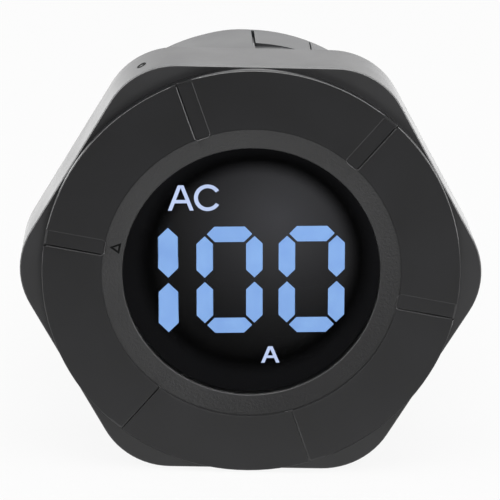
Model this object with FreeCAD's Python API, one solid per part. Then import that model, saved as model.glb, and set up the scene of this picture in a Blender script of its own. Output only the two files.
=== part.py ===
import FreeCAD, Part

import math
import os

from FreeCAD import Vector

# Digital panel ammeter for a 22 mm panel hole, lengths in mm.
# X points right and Z up as the display is read, Y runs back through the panel.
# The origin is on the barrel's axis, in the plane where the flange meets the panel.

# Driving dimensions of the head
FLANGE_ACROSS_FLATS = 30.0
FLANGE_CORNER_R = 5.45
FLANGE_T = 5.9
FLANGE_FRONT_EDGE = 0.35
FLANGE_REAR_EDGE = 0.25
GATE_DIMPLE_R = 0.33
GATE_DIMPLE_DEPTH = 0.18
GATE_DIMPLE_ANGLE = 119.4
GATE_DIMPLE_Y = -3.5

# Driving dimensions of the barrel
BARREL_R = 11.0
THREAD_DEPTH = 0.4
THREAD_PITCH = 1.5
BARREL_WALL = 1.1
SHOULDER_L = 1.5
THREAD_END_Y = 21.5
BARREL_END_Y = 26.0

# Bezel ring, with six grip grooves in its face
BEZEL_MARGIN = 0.1
BEZEL_PROUD = 0.8
BEZEL_SLOPE_W = 1.47
BEZEL_SLOPE_DEPTH = 0.4
BEZEL_STEP = 0.1
BEZEL_LIP_W = 1.6
BEZEL_LIP_T = 1.0
BEZEL_SPIGOT_WALL = 1.7
BEZEL_SPIGOT_L = 2.5
GROOVE_COUNT = 6
GROOVE_FIRST_ANGLE = 50.3
GROOVE_LAP = 0.1
GROOVE_W = 1.2
GROOVE_SHALLOW, GROOVE_FLOOR = 0.03, 0.12
GROOVE_TRENCH_W, GROOVE_TRENCH = 0.14, 0.32
GROOVE_CORNER_R = 0.3

# Window and its seal
DISPLAY_SHELF_W = 1.3
WINDOW_FLANGE_T = 0.5
WINDOW_FRONT_DEPTH = 0.5
WINDOW_SEAL_T = 0.3
WINDOW_SEAL_W = 1.1

# Display: a half digit for the one, then two full digits
DISPLAY_TURN = 1.6
MASK_T = 0.3
DIGIT_HALF_W = 1.78
DIGIT_HALF_H = 3.42
DIGIT_PITCH = 5.89
DIGIT_ROW_Z = -0.885
LAST_DIGIT_X = 4.36
SEGMENT_T = 1.13
SEGMENT_GAP = 0.18
ONE_X = -5.92
ONE_T = 1.38
ONE_HALF_H = 3.9
ONE_GAP = 0.22
LIGHT_BAR_L = 2.0
LIGHT_BAR_RECESS = 0.05
UNIT_WELL_X, UNIT_WELL_Z = -4.2, 4.9
UNIT_WELL_W, UNIT_WELL_H = 4.0, 2.4
AMPERE_WELL_X, AMPERE_WELL_Z = 1.5, -6.7
AMPERE_WELL_W, AMPERE_WELL_H = 1.8, 1.8
REFLECTOR_T = 2.8
LED_W, LED_H, LED_T = 0.8, 0.8, 0.5
DISPLAY_BOARD_T = 1.0

# Main board and what it carries, placed from the display board and the axis
MAIN_BOARD_TOP_Z = -1.0
MAIN_BOARD_T = 1.2
MAIN_BOARD_END_Y = 21.9
RAIL_GRIP = 1.1
RAIL_LIP = 1.0
RAIL_START_Y, RAIL_END_Y = 1.0, 21.5
FILM_CAP_L, FILM_CAP_H = 5.0, 8.0
FILM_CAP_Y = 6.5
FILM_CAP_EDGE = 0.5
CAN_R, CAN_L = 3.15, 7.2
CAN_X, CAN_Y = -3.6, 12.4
FUSIBLE_R, FUSIBLE_L = 1.6, 6.0
FUSIBLE_X, FUSIBLE_Y = 3.8, 13.0
LEAD_W = 0.6
LEAD_POST_W = 0.8
LEAD_REACH = 0.75
CHIP_W, CHIP_L, CHIP_H = 3.9, 9.9, 1.5
CHIP_X, CHIP_Y = 2.6, 3.0
DRIVER_W, DRIVER_L, DRIVER_H = 3.9, 6.0, 1.3
DRIVER_Z = 3.2
BRIDGE_W, BRIDGE_L, BRIDGE_H = 4.4, 4.9, 1.8
BRIDGE_X, BRIDGE_Y = -3.6, 15.0
BURDEN_W, BURDEN_L, BURDEN_H = 3.2, 6.3, 0.6
BURDEN_X, BURDEN_Y = 3.0, 14.5
LINK_PIN_COUNT = 9
LINK_PIN_PITCH = 1.3
LINK_PIN_W = 0.5
LINK_PIN_L = 4.4
LINK_STRIP_STANDOFF = 1.0
LINK_STRIP_L, LINK_STRIP_H = 1.8, 1.6

# Rear terminal block
BLOCK_END_Y = 36.0
BLOCK_FLOOR_IN = 1.0
BAY_FLOOR_Y = 29.0
BLOCK_SPIGOT_WALL = 1.2
BLOCK_SPIGOT_L = 3.8
BLOCK_EDGE = 0.5
BLOCK_CROWN_R = 17.2
BLOCK_CROWN_Z = -9.5
CATCH_W = 4.8
CATCH_PROUD = 1.0
CATCH_ROOT = 0.3
CATCH_START_Y, CATCH_END_Y = 23.1, 24.5
BAY_INNER_X = 0.9
BAY_WALL = 1.9

# Terminals, each in the middle of its bay
TERMINAL_Z = -3.4
SCREW_R = 1.45
SCREW_HEAD_R = 2.75
SCREW_HEAD_H = 2.2
SCREW_SHANK_L = 4.8
CROSS_W, CROSS_SPAN, CROSS_DEPTH = 0.8, 3.4, 1.3
LUG_MARGIN, LUG_T = 0.6, 1.2
CLAMP_MARGIN, CLAMP_T = 0.2, 0.8
CLAMP_CORNER = 0.6
LUG_LEG_W, LUG_LEG_T, LUG_LEG_OVERLAP = 3.0, 0.8, 1.6

# Socket for the current transformer's plug
SOCKET_W, SOCKET_H, SOCKET_L = 7.4, 5.7, 7.0
SOCKET_FLOOR_W = 0.75
SOCKET_WALL = 0.8
SOCKET_BASE_T = 1.5
SOCKET_KEY_W = 0.9
SOCKET_KEY_X = 1.9
SOCKET_PIN_PITCH = 2.5
SOCKET_PIN_W = 0.64
SOCKET_PIN_TIP = 1.4
SOCKET_PIN_FOOT = 1.2

# Panel fixing
GASKET_T = 0.9
GASKET_W = 2.2
NUT_WALL = 2.5
NUT_L = 8.0
NUT_EDGE = 0.3
NUT_FRONT_Y = 5.1
NUT_RIM_W = 0.9
NUT_PAD_COUNT = 6
NUT_PAD_FIRST_ANGLE = 88.9
NUT_PAD_SPAN = 19.1
NUT_PAD_FRONT_RIM, NUT_PAD_REAR_RIM = 3.1, 0.65
NUT_SLOT_W, NUT_SLOT_DEEP = 0.22, 0.5
NUT_NICK_W, NUT_NICK_DEEP = 0.12, 0.2
NUT_RAMP_SPAN, NUT_RAMP_DEEP = 13.0, 0.22
THRUST_WASHER_T = 0.8
THRUST_WASHER_PROUD = 0.2

# Clearances, on the radius or on each side
RUNNING_CLEAR = 0.05
SEAT_CLEAR = 0.1
WINDOW_CLEAR = 0.1
REFLECTOR_CLEAR = 0.2
WELL_CLEAR = 0.05
BOARD_CLEAR = 0.05
DISPLAY_BOARD_CLEAR = 0.2
BOARD_EDGE_CLEAR = 0.5
CASE_CLEAR = 0.15
PIN_CLEAR = 0.08
WASHER_CLEAR = 0.15
SCREW_TIP_CLEAR = 0.4
BAY_TOP_CLEAR = 0.1

# Radii, each worked out from the driving dimensions
THREAD_CORE_R = BARREL_R - THREAD_DEPTH
BARREL_BORE_R = THREAD_CORE_R - BARREL_WALL
BEZEL_R = FLANGE_ACROSS_FLATS / 2 - BEZEL_MARGIN
WINDOW_SEAT_R = BARREL_BORE_R + DISPLAY_SHELF_W
BEZEL_SPIGOT_R = WINDOW_SEAT_R + BEZEL_SPIGOT_WALL
BEZEL_OPENING_R = WINDOW_SEAT_R - BEZEL_LIP_W
BEZEL_SLOPE_OUTER_R = BEZEL_OPENING_R + BEZEL_SLOPE_W
GROOVE_INNER_R = BEZEL_SLOPE_OUTER_R - GROOVE_LAP
WINDOW_SEAL_R = WINDOW_SEAT_R - WINDOW_CLEAR
REFLECTOR_R = WINDOW_SEAT_R - REFLECTOR_CLEAR
DISPLAY_BOARD_R = BARREL_BORE_R - DISPLAY_BOARD_CLEAR
MAIN_BOARD_HALF_W = BARREL_BORE_R - BOARD_EDGE_CLEAR
RAIL_INNER_X = MAIN_BOARD_HALF_W - RAIL_GRIP
BLOCK_R = THREAD_CORE_R
BLOCK_SPIGOT_R = BARREL_BORE_R - SEAT_CLEAR
BLOCK_SPIGOT_BORE_R = BLOCK_SPIGOT_R - BLOCK_SPIGOT_WALL
BAY_OUTER_X = BLOCK_R - BAY_WALL
TERMINAL_X = (BAY_INNER_X + BAY_OUTER_X) / 2
LUG_SIDE = BAY_OUTER_X - BAY_INNER_X - 2 * LUG_MARGIN
CLAMP_SIDE = LUG_SIDE - 2 * CLAMP_MARGIN
BAY_TOP_Z = TERMINAL_Z + LUG_SIDE / 2 + BAY_TOP_CLEAR
SOCKET_Z = BAY_TOP_Z + SOCKET_FLOOR_W + RUNNING_CLEAR + SOCKET_H / 2
GASKET_INNER_R = BARREL_R + SEAT_CLEAR
GASKET_OUTER_R = GASKET_INNER_R + GASKET_W
NUT_R = BARREL_R + NUT_WALL
THRUST_WASHER_R = NUT_R - NUT_RIM_W

# Planes along the axis, each worked out from the driving dimensions
FLANGE_FRONT_Y = -FLANGE_T
BEZEL_FACE_Y = FLANGE_FRONT_Y - BEZEL_PROUD
LIP_FRONT_Y = BEZEL_FACE_Y + BEZEL_SLOPE_DEPTH
LIP_REAR_Y = LIP_FRONT_Y + BEZEL_LIP_T
SPIGOT_END_Y = FLANGE_FRONT_Y + BEZEL_SPIGOT_L
WINDOW_FRONT_Y = BEZEL_FACE_Y + WINDOW_FRONT_DEPTH
WINDOW_FLANGE_Y = LIP_REAR_Y + WINDOW_SEAL_T
MASK_FRONT_Y = WINDOW_FLANGE_Y + WINDOW_FLANGE_T
REFLECTOR_FRONT_Y = MASK_FRONT_Y + MASK_T
DISPLAY_BOARD_Y = REFLECTOR_FRONT_Y + REFLECTOR_T
DISPLAY_BOARD_REAR_Y = DISPLAY_BOARD_Y + DISPLAY_BOARD_T
MAIN_BOARD_START_Y = DISPLAY_BOARD_REAR_Y + 2 * BOARD_CLEAR
MAIN_BOARD_BOTTOM_Z = MAIN_BOARD_TOP_Z - MAIN_BOARD_T
BLOCK_FLOOR_Y = BARREL_END_Y - BLOCK_FLOOR_IN
BLOCK_SPIGOT_Y = BARREL_END_Y - BLOCK_SPIGOT_L
LUG_FACE_Y = BAY_FLOOR_Y + LUG_T
SCREW_SEAT_Y = LUG_FACE_Y + CLAMP_T
SCREW_TIP_Y = SCREW_SEAT_Y - SCREW_SHANK_L
SIDES = {"left": -1, "right": 1}


def turned(profile):
    """Solid of revolution about the Y axis from (radius, y) corners."""
    points = [Vector(r, y, 0) for r, y in profile]
    face = Part.Face(Part.makePolygon(points + points[:1]))
    return face.revolve(Vector(0, 0, 0), Vector(0, 1, 0), 360)


def rod(radius, y0, y1, x=0.0, z=0.0):
    return Part.makeCylinder(radius, y1 - y0, Vector(x, y0, z), Vector(0, 1, 0))


def tube(outer_r, inner_r, y0, y1):
    return turned([(inner_r, y0), (outer_r, y0), (outer_r, y1), (inner_r, y1)])


def box(x0, x1, y0, y1, z0, z1):
    return Part.makeBox(x1 - x0, y1 - y0, z1 - z0, Vector(x0, y0, z0))


def prism(points, y0, y1):
    """Straight solid along Y over (x, z) corners."""
    corners = [Vector(x, y0, z) for x, z in points]
    face = Part.Face(Part.makePolygon(corners + corners[:1]))
    return face.extrude(Vector(0, y1 - y0, 0))


def turn_about_axis(shape, degrees):
    """Turned anticlockwise as the display is read."""
    turned_shape = shape.copy()
    turned_shape.rotate(Vector(0, 0, 0), Vector(0, -1, 0), degrees)
    return turned_shape


def edges_where(shape, test):
    return [edge for edge in shape.Edges if test(edge)]


def lies_at_y(edge, y):
    return all(abs(v.Point.y - y) < 1e-6 for v in edge.Vertexes)


def save(name, shape):
    shape.exportStep("parts/" + name + ".step")


def group(shapes):
    return Part.makeCompound(shapes)


# Front housing: hexagonal flange and threaded barrel in one moulding

def flange_blank():
    corner_r = FLANGE_ACROSS_FLATS / 2 / math.cos(math.pi / 6)
    corners = []
    for k in range(6):
        angle = math.radians(60 * k)
        corners.append((corner_r * math.cos(angle), corner_r * math.sin(angle)))
    blank = prism(corners, FLANGE_FRONT_Y, 0)
    upright = edges_where(blank, lambda e: abs(e.Length - FLANGE_T) < 1e-6)
    blank = blank.makeFillet(FLANGE_CORNER_R, upright)
    front = edges_where(blank, lambda e: lies_at_y(e, FLANGE_FRONT_Y))
    blank = blank.makeChamfer(FLANGE_FRONT_EDGE, front)
    rear = edges_where(blank, lambda e: lies_at_y(e, 0))
    return blank.makeChamfer(FLANGE_REAR_EDGE, rear)


def gate_dimple():
    corner_r = FLANGE_ACROSS_FLATS / 2 / math.cos(math.pi / 6)
    surface_r = corner_r - FLANGE_CORNER_R / math.cos(math.pi / 6) + FLANGE_CORNER_R
    angle = math.radians(GATE_DIMPLE_ANGLE)
    outward = Vector(math.cos(angle), 0, math.sin(angle))
    foot = outward * (surface_r - GATE_DIMPLE_DEPTH) + Vector(0, GATE_DIMPLE_Y, 0)
    return Part.makeCylinder(GATE_DIMPLE_R, 2 * GATE_DIMPLE_DEPTH, foot, outward)


def board_rail(side):
    """Guide along the bore's wall, with a groove for the main board's edge."""
    low = MAIN_BOARD_BOTTOM_Z - RAIL_LIP
    high = MAIN_BOARD_TOP_Z + RAIL_LIP
    reach = (BARREL_BORE_R + BARREL_BORE_R + 1) / 2
    rail = box(RAIL_INNER_X, reach, RAIL_START_Y, RAIL_END_Y, low, high)
    rail = rail.common(rod(BARREL_BORE_R + 0.3, RAIL_START_Y, RAIL_END_Y))
    groove_low = MAIN_BOARD_BOTTOM_Z - BOARD_CLEAR
    groove_high = MAIN_BOARD_TOP_Z + BOARD_CLEAR
    groove_x = MAIN_BOARD_HALF_W + BOARD_CLEAR
    rail = rail.cut(box(0, groove_x, 0, RAIL_END_Y + 1, groove_low, groove_high))
    if side < 0:
        rail = rail.mirror(Vector(0, 0, 0), Vector(1, 0, 0))
    return rail


def front_housing():
    body = flange_blank()
    barrel = turned([
        (0, -1), (BARREL_R, -1), (BARREL_R, SHOULDER_L),
        (THREAD_CORE_R, SHOULDER_L), (THREAD_CORE_R, BARREL_END_Y), (0, BARREL_END_Y),
    ])
    groove = tube(
        GASKET_OUTER_R + SEAT_CLEAR, BARREL_R, -GASKET_T, 1)
    body = body.cut(groove).fuse(barrel)
    head_recess = rod(BEZEL_SPIGOT_R + RUNNING_CLEAR, FLANGE_FRONT_Y - 1,
                      SPIGOT_END_Y + SEAT_CLEAR)
    display_recess = rod(WINDOW_SEAT_R, FLANGE_FRONT_Y - 1, DISPLAY_BOARD_Y)
    bore = rod(BARREL_BORE_R, FLANGE_FRONT_Y - 1, BARREL_END_Y + 1)
    body = body.cut(head_recess.fuse([display_recess, bore]))
    body = body.fuse([board_rail(side) for side in SIDES.values()])
    for side in SIDES.values():
        x0, x1 = sorted((side * (BARREL_BORE_R - 1), side * (BARREL_R + 1)))
        half_w = CATCH_W / 2 + SEAT_CLEAR
        body = body.cut(box(x0, x1, CATCH_START_Y - SEAT_CLEAR,
                            CATCH_END_Y + SEAT_CLEAR, -half_w, half_w))
    return body.cut(gate_dimple()).removeSplitter()


# Bezel ring: the six grooves are shallow, with one deeper line each

def grip_groove(angle):
    """One groove along a radius, with a narrow trench along one of its walls."""
    deep_side = 1 if math.cos(math.radians(angle)) < 0 else -1
    half = GROOVE_W / 2
    above = BEZEL_FACE_Y - 1
    trench = half - GROOVE_TRENCH_W
    section = [
        (-half * deep_side, above),
        (-half * deep_side, BEZEL_FACE_Y + GROOVE_SHALLOW),
        (trench * deep_side, BEZEL_FACE_Y + GROOVE_FLOOR),
        (trench * deep_side, BEZEL_FACE_Y + GROOVE_TRENCH),
        (half * deep_side, BEZEL_FACE_Y + GROOVE_TRENCH),
        (half * deep_side, above),
    ]
    corners = [Vector(GROOVE_INNER_R, y, across) for across, y in section]
    face = Part.Face(Part.makePolygon(corners + corners[:1]))
    floor = face.extrude(Vector(BEZEL_R - GROOVE_INNER_R + 1, 0, 0))
    outline = box(GROOVE_INNER_R, BEZEL_R + 1, above, BEZEL_FACE_Y + 1, -half, half)
    inner_corners = edges_where(outline, lambda e: all(
        abs(v.Point.x - GROOVE_INNER_R) < 1e-6 for v in e.Vertexes)
        and abs(e.Vertexes[0].Point.z - e.Vertexes[1].Point.z) < 1e-6)
    outline = outline.makeFillet(GROOVE_CORNER_R, inner_corners)
    return turn_about_axis(outline.common(floor), angle)


def bezel_ring():
    ring = turned([
        (BEZEL_SLOPE_OUTER_R, BEZEL_FACE_Y + BEZEL_STEP),
        (BEZEL_SLOPE_OUTER_R, BEZEL_FACE_Y), (BEZEL_R, BEZEL_FACE_Y),
        (BEZEL_R, FLANGE_FRONT_Y), (BEZEL_SPIGOT_R, FLANGE_FRONT_Y),
        (BEZEL_SPIGOT_R, SPIGOT_END_Y), (WINDOW_SEAT_R, SPIGOT_END_Y),
        (WINDOW_SEAT_R, LIP_REAR_Y), (BEZEL_OPENING_R, LIP_REAR_Y),
        (BEZEL_OPENING_R, LIP_FRONT_Y),
    ])
    step = 360 / GROOVE_COUNT
    grooves = [grip_groove(GROOVE_FIRST_ANGLE + step * k) for k in range(GROOVE_COUNT)]
    return ring.cut(grooves)


# Window: a smoked disc that stands forward into the bezel's opening

def display_window():
    rim_r = BEZEL_OPENING_R - WINDOW_CLEAR
    flange_r = WINDOW_SEAT_R - WINDOW_CLEAR
    return turned([
        (0, WINDOW_FRONT_Y), (rim_r, WINDOW_FRONT_Y),
        (rim_r, WINDOW_FLANGE_Y), (flange_r, WINDOW_FLANGE_Y),
        (flange_r, MASK_FRONT_Y), (0, MASK_FRONT_Y),
    ])


# Display: every segment is a long hexagon between two corners of its digit

def segment_outline(start, end, thickness, gap):
    """Corners of a segment from start to end, pointed at 45 degrees at both ends."""
    (x0, z0), (x1, z1) = start, end
    length = math.hypot(x1 - x0, z1 - z0)
    along = ((x1 - x0) / length, (z1 - z0) / length)
    across = (-along[1], along[0])
    half = thickness / 2
    stations = [
        (gap, 0), (gap + half, half), (length - gap - half, half),
        (length - gap, 0), (length - gap - half, -half), (gap + half, -half),
    ]
    return [(x0 + along[0] * s + across[0] * t, z0 + along[1] * s + across[1] * t)
            for s, t in stations]


def grown(outline, margin):
    """The same outline with its corners moved out by a margin."""
    cx = sum(x for x, z in outline) / len(outline)
    cz = sum(z for x, z in outline) / len(outline)
    out = []
    for x, z in outline:
        reach = math.hypot(x - cx, z - cz)
        share = (reach + margin * 1.2) / reach
        out.append((cx + (x - cx) * share, cz + (z - cz) * share))
    return out


def zero_nodes(centre_x):
    low, mid, high = (DIGIT_ROW_Z - DIGIT_HALF_H, DIGIT_ROW_Z, DIGIT_ROW_Z + DIGIT_HALF_H)
    left, right = centre_x - DIGIT_HALF_W, centre_x + DIGIT_HALF_W
    return left, right, low, mid, high


def lit_outlines():
    """Segments that show one hundred: the one, then two zeros."""
    outlines = []
    low, high = DIGIT_ROW_Z - ONE_HALF_H, DIGIT_ROW_Z + ONE_HALF_H
    for end in (low, high):
        mid_end = DIGIT_ROW_Z + math.copysign(ONE_GAP, end - DIGIT_ROW_Z)
        outlines.append(segment_outline((ONE_X, mid_end), (ONE_X, end), ONE_T, 0))
    for centre_x in (LAST_DIGIT_X - DIGIT_PITCH, LAST_DIGIT_X):
        left, right, low, mid, high = zero_nodes(centre_x)
        for start, end in (
                ((left, high), (right, high)), ((left, low), (right, low)),
                ((left, mid), (left, high)), ((left, low), (left, mid)),
                ((right, mid), (right, high)), ((right, low), (right, mid))):
            outlines.append(segment_outline(start, end, SEGMENT_T, SEGMENT_GAP))
    return outlines


def unlit_outlines():
    outlines = []
    for centre_x in (LAST_DIGIT_X - DIGIT_PITCH, LAST_DIGIT_X):
        left, right, low, mid, high = zero_nodes(centre_x)
        outlines.append(
            segment_outline((left, mid), (right, mid), SEGMENT_T, SEGMENT_GAP))
    return outlines


def rectangle(x, z, width, height):
    return [(x - width / 2, z - height / 2), (x + width / 2, z - height / 2),
            (x + width / 2, z + height / 2), (x - width / 2, z + height / 2)]


def legend_outlines():
    return [rectangle(UNIT_WELL_X, UNIT_WELL_Z, UNIT_WELL_W, UNIT_WELL_H),
            rectangle(AMPERE_WELL_X, AMPERE_WELL_Z, AMPERE_WELL_W, AMPERE_WELL_H)]


def display_mask():
    disc = rod(WINDOW_SEAT_R - WINDOW_CLEAR, MASK_FRONT_Y, REFLECTOR_FRONT_Y)
    holes = [prism(grown(o, WELL_CLEAR), MASK_FRONT_Y - 1, REFLECTOR_FRONT_Y + 1)
             for o in lit_outlines() + unlit_outlines()]
    return turn_about_axis(disc.cut(holes), DISPLAY_TURN)


def light_bars(outlines, front_y):
    bars = [prism(o, front_y, front_y + LIGHT_BAR_L) for o in outlines]
    return turn_about_axis(group(bars), DISPLAY_TURN)


def reflector_block():
    disc = rod(REFLECTOR_R, REFLECTOR_FRONT_Y, DISPLAY_BOARD_Y)
    outlines = lit_outlines() + unlit_outlines() + legend_outlines()
    wells = [prism(grown(o, WELL_CLEAR), REFLECTOR_FRONT_Y - 1, DISPLAY_BOARD_Y + 1)
             for o in outlines]
    return turn_about_axis(disc.cut(wells), DISPLAY_TURN)


def display_leds():
    chips = []
    for outline in lit_outlines() + unlit_outlines() + legend_outlines():
        x = sum(p[0] for p in outline) / len(outline)
        z = sum(p[1] for p in outline) / len(outline)
        chips.append(box(x - LED_W / 2, x + LED_W / 2, DISPLAY_BOARD_Y - LED_T,
                         DISPLAY_BOARD_Y, z - LED_H / 2, z + LED_H / 2))
    return turn_about_axis(group(chips), DISPLAY_TURN)


# Boards and what they carry

def link_pin_places():
    first = -LINK_PIN_PITCH * (LINK_PIN_COUNT - 1) / 2
    return [first + LINK_PIN_PITCH * k for k in range(LINK_PIN_COUNT)]


def link_pins():
    pins = [box(x - LINK_PIN_W / 2, x + LINK_PIN_W / 2, DISPLAY_BOARD_REAR_Y,
                DISPLAY_BOARD_REAR_Y + LINK_PIN_L, MAIN_BOARD_TOP_Z,
                MAIN_BOARD_TOP_Z + LINK_PIN_W)
            for x in link_pin_places()]
    return group(pins)


def link_strip():
    """Comb of insulation that keeps the link pins apart."""
    half_w = LINK_PIN_PITCH * LINK_PIN_COUNT / 2
    y0 = DISPLAY_BOARD_REAR_Y + LINK_STRIP_STANDOFF
    y1 = y0 + LINK_STRIP_L
    strip = box(-half_w, half_w, y0, y1, MAIN_BOARD_TOP_Z, MAIN_BOARD_TOP_Z + LINK_STRIP_H)
    half = LINK_PIN_W / 2 + BOARD_CLEAR
    slots = [box(x - half, x + half, y0 - 1, y1 + 1, MAIN_BOARD_TOP_Z - 1,
                 MAIN_BOARD_TOP_Z + LINK_PIN_W + BOARD_CLEAR)
             for x in link_pin_places()]
    return strip.cut(slots)


def film_capacitor():
    top_z = MAIN_BOARD_TOP_Z + FILM_CAP_H
    half = math.sqrt((BARREL_BORE_R - CASE_CLEAR) ** 2 - top_z ** 2)
    case = box(-half, half, FILM_CAP_Y, FILM_CAP_Y + FILM_CAP_L, MAIN_BOARD_TOP_Z,
               MAIN_BOARD_TOP_Z + FILM_CAP_H)
    return case.makeChamfer(FILM_CAP_EDGE, edges_where(
        case, lambda e: abs(e.Length - FILM_CAP_L) < 1e-6 and e.BoundBox.ZMin > 0))


def smoothing_capacitor():
    z = MAIN_BOARD_TOP_Z + CAN_R
    return rod(CAN_R, CAN_Y, CAN_Y + CAN_L, CAN_X, z)


def fusible_resistor():
    z = MAIN_BOARD_TOP_Z + FUSIBLE_R
    return rod(FUSIBLE_R, FUSIBLE_Y, FUSIBLE_Y + FUSIBLE_L, FUSIBLE_X, z)


def fusible_leads():
    """A flattened lead at each end of the resistor, soldered to a post on the board."""
    z = MAIN_BOARD_TOP_Z + FUSIBLE_R
    leads = []
    for end, out in ((FUSIBLE_Y, -1), (FUSIBLE_Y + FUSIBLE_L, 1)):
        post_y = end + out * LEAD_REACH
        y0, y1 = sorted((end, post_y))
        lead = box(FUSIBLE_X - LEAD_W / 2, FUSIBLE_X + LEAD_W / 2, y0, y1,
                   z - LEAD_W / 2, z + LEAD_W / 2)
        post = box(FUSIBLE_X - LEAD_POST_W / 2, FUSIBLE_X + LEAD_POST_W / 2,
                   post_y - LEAD_POST_W / 2, post_y + LEAD_POST_W / 2,
                   MAIN_BOARD_TOP_Z, z + LEAD_POST_W / 2)
        leads.append(lead.fuse(post).removeSplitter())
    return group(leads)


def under_board(width, length, height, x, y):
    return box(x - width / 2, x + width / 2, y, y + length,
               MAIN_BOARD_BOTTOM_Z - height, MAIN_BOARD_BOTTOM_Z)


# Rear terminal block: two bays open to the back and below, a socket above them,
# and a flattened top that stays clear of the barrel's outline

def socket_outline(margin):
    return (-SOCKET_W / 2 - margin, SOCKET_W / 2 + margin,
            SOCKET_Z - SOCKET_H / 2 - margin, SOCKET_Z + SOCKET_H / 2 + margin)


def socket_pin_passage(y0, y1):
    half = SOCKET_PIN_W / 2 + PIN_CLEAR
    return [box(x - half, x + half, y0, y1, SOCKET_Z - half, SOCKET_Z + half)
            for x in (-SOCKET_PIN_PITCH / 2, SOCKET_PIN_PITCH / 2)]


def catch(side):
    """Wedge that clicks into the barrel's window."""
    foot, tip = BLOCK_SPIGOT_R - CATCH_ROOT, BLOCK_SPIGOT_R + CATCH_PROUD
    corners = [Vector(foot, CATCH_START_Y, -CATCH_W / 2),
               Vector(tip, CATCH_END_Y, -CATCH_W / 2),
               Vector(foot, CATCH_END_Y, -CATCH_W / 2)]
    face = Part.Face(Part.makePolygon(corners + corners[:1]))
    wedge = face.extrude(Vector(0, 0, CATCH_W))
    if side < 0:
        wedge = wedge.mirror(Vector(0, 0, 0), Vector(1, 0, 0))
    return wedge


def terminal_block():
    block = turned([
        (0, BLOCK_FLOOR_Y), (BLOCK_SPIGOT_R, BLOCK_FLOOR_Y),
        (BLOCK_SPIGOT_R, BARREL_END_Y), (BLOCK_R, BARREL_END_Y),
        (BLOCK_R, BLOCK_END_Y - BLOCK_EDGE), (BLOCK_R - BLOCK_EDGE, BLOCK_END_Y),
        (0, BLOCK_END_Y),
    ])
    crown = rod(BLOCK_CROWN_R, BARREL_END_Y, BLOCK_END_Y + 1, 0, BLOCK_CROWN_Z)
    spigot_space = rod(BLOCK_R + 1, BLOCK_FLOOR_Y - 1, BARREL_END_Y)
    block = block.common(crown.fuse(spigot_space))
    spigot = tube(BLOCK_SPIGOT_R, BLOCK_SPIGOT_BORE_R, BLOCK_SPIGOT_Y, BLOCK_FLOOR_Y + 0.1)
    block = block.fuse([spigot] + [catch(side) for side in SIDES.values()])
    x0, x1, z0, z1 = socket_outline(RUNNING_CLEAR)
    cuts = [box(x0, x1, BAY_FLOOR_Y, BLOCK_END_Y + 1, z0, z1)]
    cuts += socket_pin_passage(BLOCK_FLOOR_Y - 1, BAY_FLOOR_Y + 1)
    for side in SIDES.values():
        x0, x1 = sorted((side * BAY_INNER_X, side * BAY_OUTER_X))
        cuts.append(box(x0, x1, BAY_FLOOR_Y, BLOCK_END_Y + 1, -BLOCK_R - 1, BAY_TOP_Z))
        hole_end = SCREW_TIP_Y - SCREW_TIP_CLEAR
        cuts.append(rod(SCREW_R + SCREW_TIP_CLEAR, hole_end, BAY_FLOOR_Y + 1,
                        side * TERMINAL_X, TERMINAL_Z))
        half = LUG_LEG_W / 2 + PIN_CLEAR
        cuts.append(box(side * TERMINAL_X - half, side * TERMINAL_X + half,
                        BLOCK_FLOOR_Y - 1, BAY_FLOOR_Y + 1,
                        MAIN_BOARD_TOP_Z - PIN_CLEAR,
                        MAIN_BOARD_TOP_Z + LUG_LEG_T + PIN_CLEAR))
    return block.cut(cuts).removeSplitter()


def terminal_lugs():
    """Brass plate under each screw, with a leg that reaches the main board."""
    lugs = []
    for side in SIDES.values():
        x = side * TERMINAL_X
        plate = box(x - LUG_SIDE / 2, x + LUG_SIDE / 2, BAY_FLOOR_Y, LUG_FACE_Y,
                    TERMINAL_Z - LUG_SIDE / 2, TERMINAL_Z + LUG_SIDE / 2)
        leg = box(x - LUG_LEG_W / 2, x + LUG_LEG_W / 2,
                  MAIN_BOARD_END_Y - LUG_LEG_OVERLAP, BAY_FLOOR_Y + LUG_T / 2,
                  MAIN_BOARD_TOP_Z, MAIN_BOARD_TOP_Z + LUG_LEG_T)
        hole = rod(SCREW_R + RUNNING_CLEAR, BAY_FLOOR_Y - 1, LUG_FACE_Y + 1, x, TERMINAL_Z)
        lugs.append(plate.fuse(leg).cut(hole).removeSplitter())
    return group(lugs)


def clamp_washer(side):
    x = side * TERMINAL_X
    half = CLAMP_SIDE / 2
    plate = box(x - half, x + half, LUG_FACE_Y, SCREW_SEAT_Y,
                TERMINAL_Z - half, TERMINAL_Z + half)
    corners = edges_where(plate, lambda e: abs(e.Length - CLAMP_T) < 1e-6)
    plate = plate.makeChamfer(CLAMP_CORNER, corners)
    hole = rod(SCREW_R + WASHER_CLEAR, LUG_FACE_Y - 1, SCREW_SEAT_Y + 1, x, TERMINAL_Z)
    return plate.cut(hole)


def terminal_screw(side):
    x = side * TERMINAL_X
    top = SCREW_SEAT_Y + SCREW_HEAD_H
    head = rod(SCREW_HEAD_R, SCREW_SEAT_Y, top, x, TERMINAL_Z)
    shank = rod(SCREW_R, SCREW_TIP_Y, SCREW_SEAT_Y + 0.1, x, TERMINAL_Z)
    screw = head.fuse(shank).removeSplitter()
    half_w, half_span = CROSS_W / 2, CROSS_SPAN / 2
    for dx, dz in ((half_span, half_w), (half_w, half_span)):
        screw = screw.cut(box(x - dx, x + dx, top - CROSS_DEPTH, top + 1,
                              TERMINAL_Z - dz, TERMINAL_Z + dz))
    return screw


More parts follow.
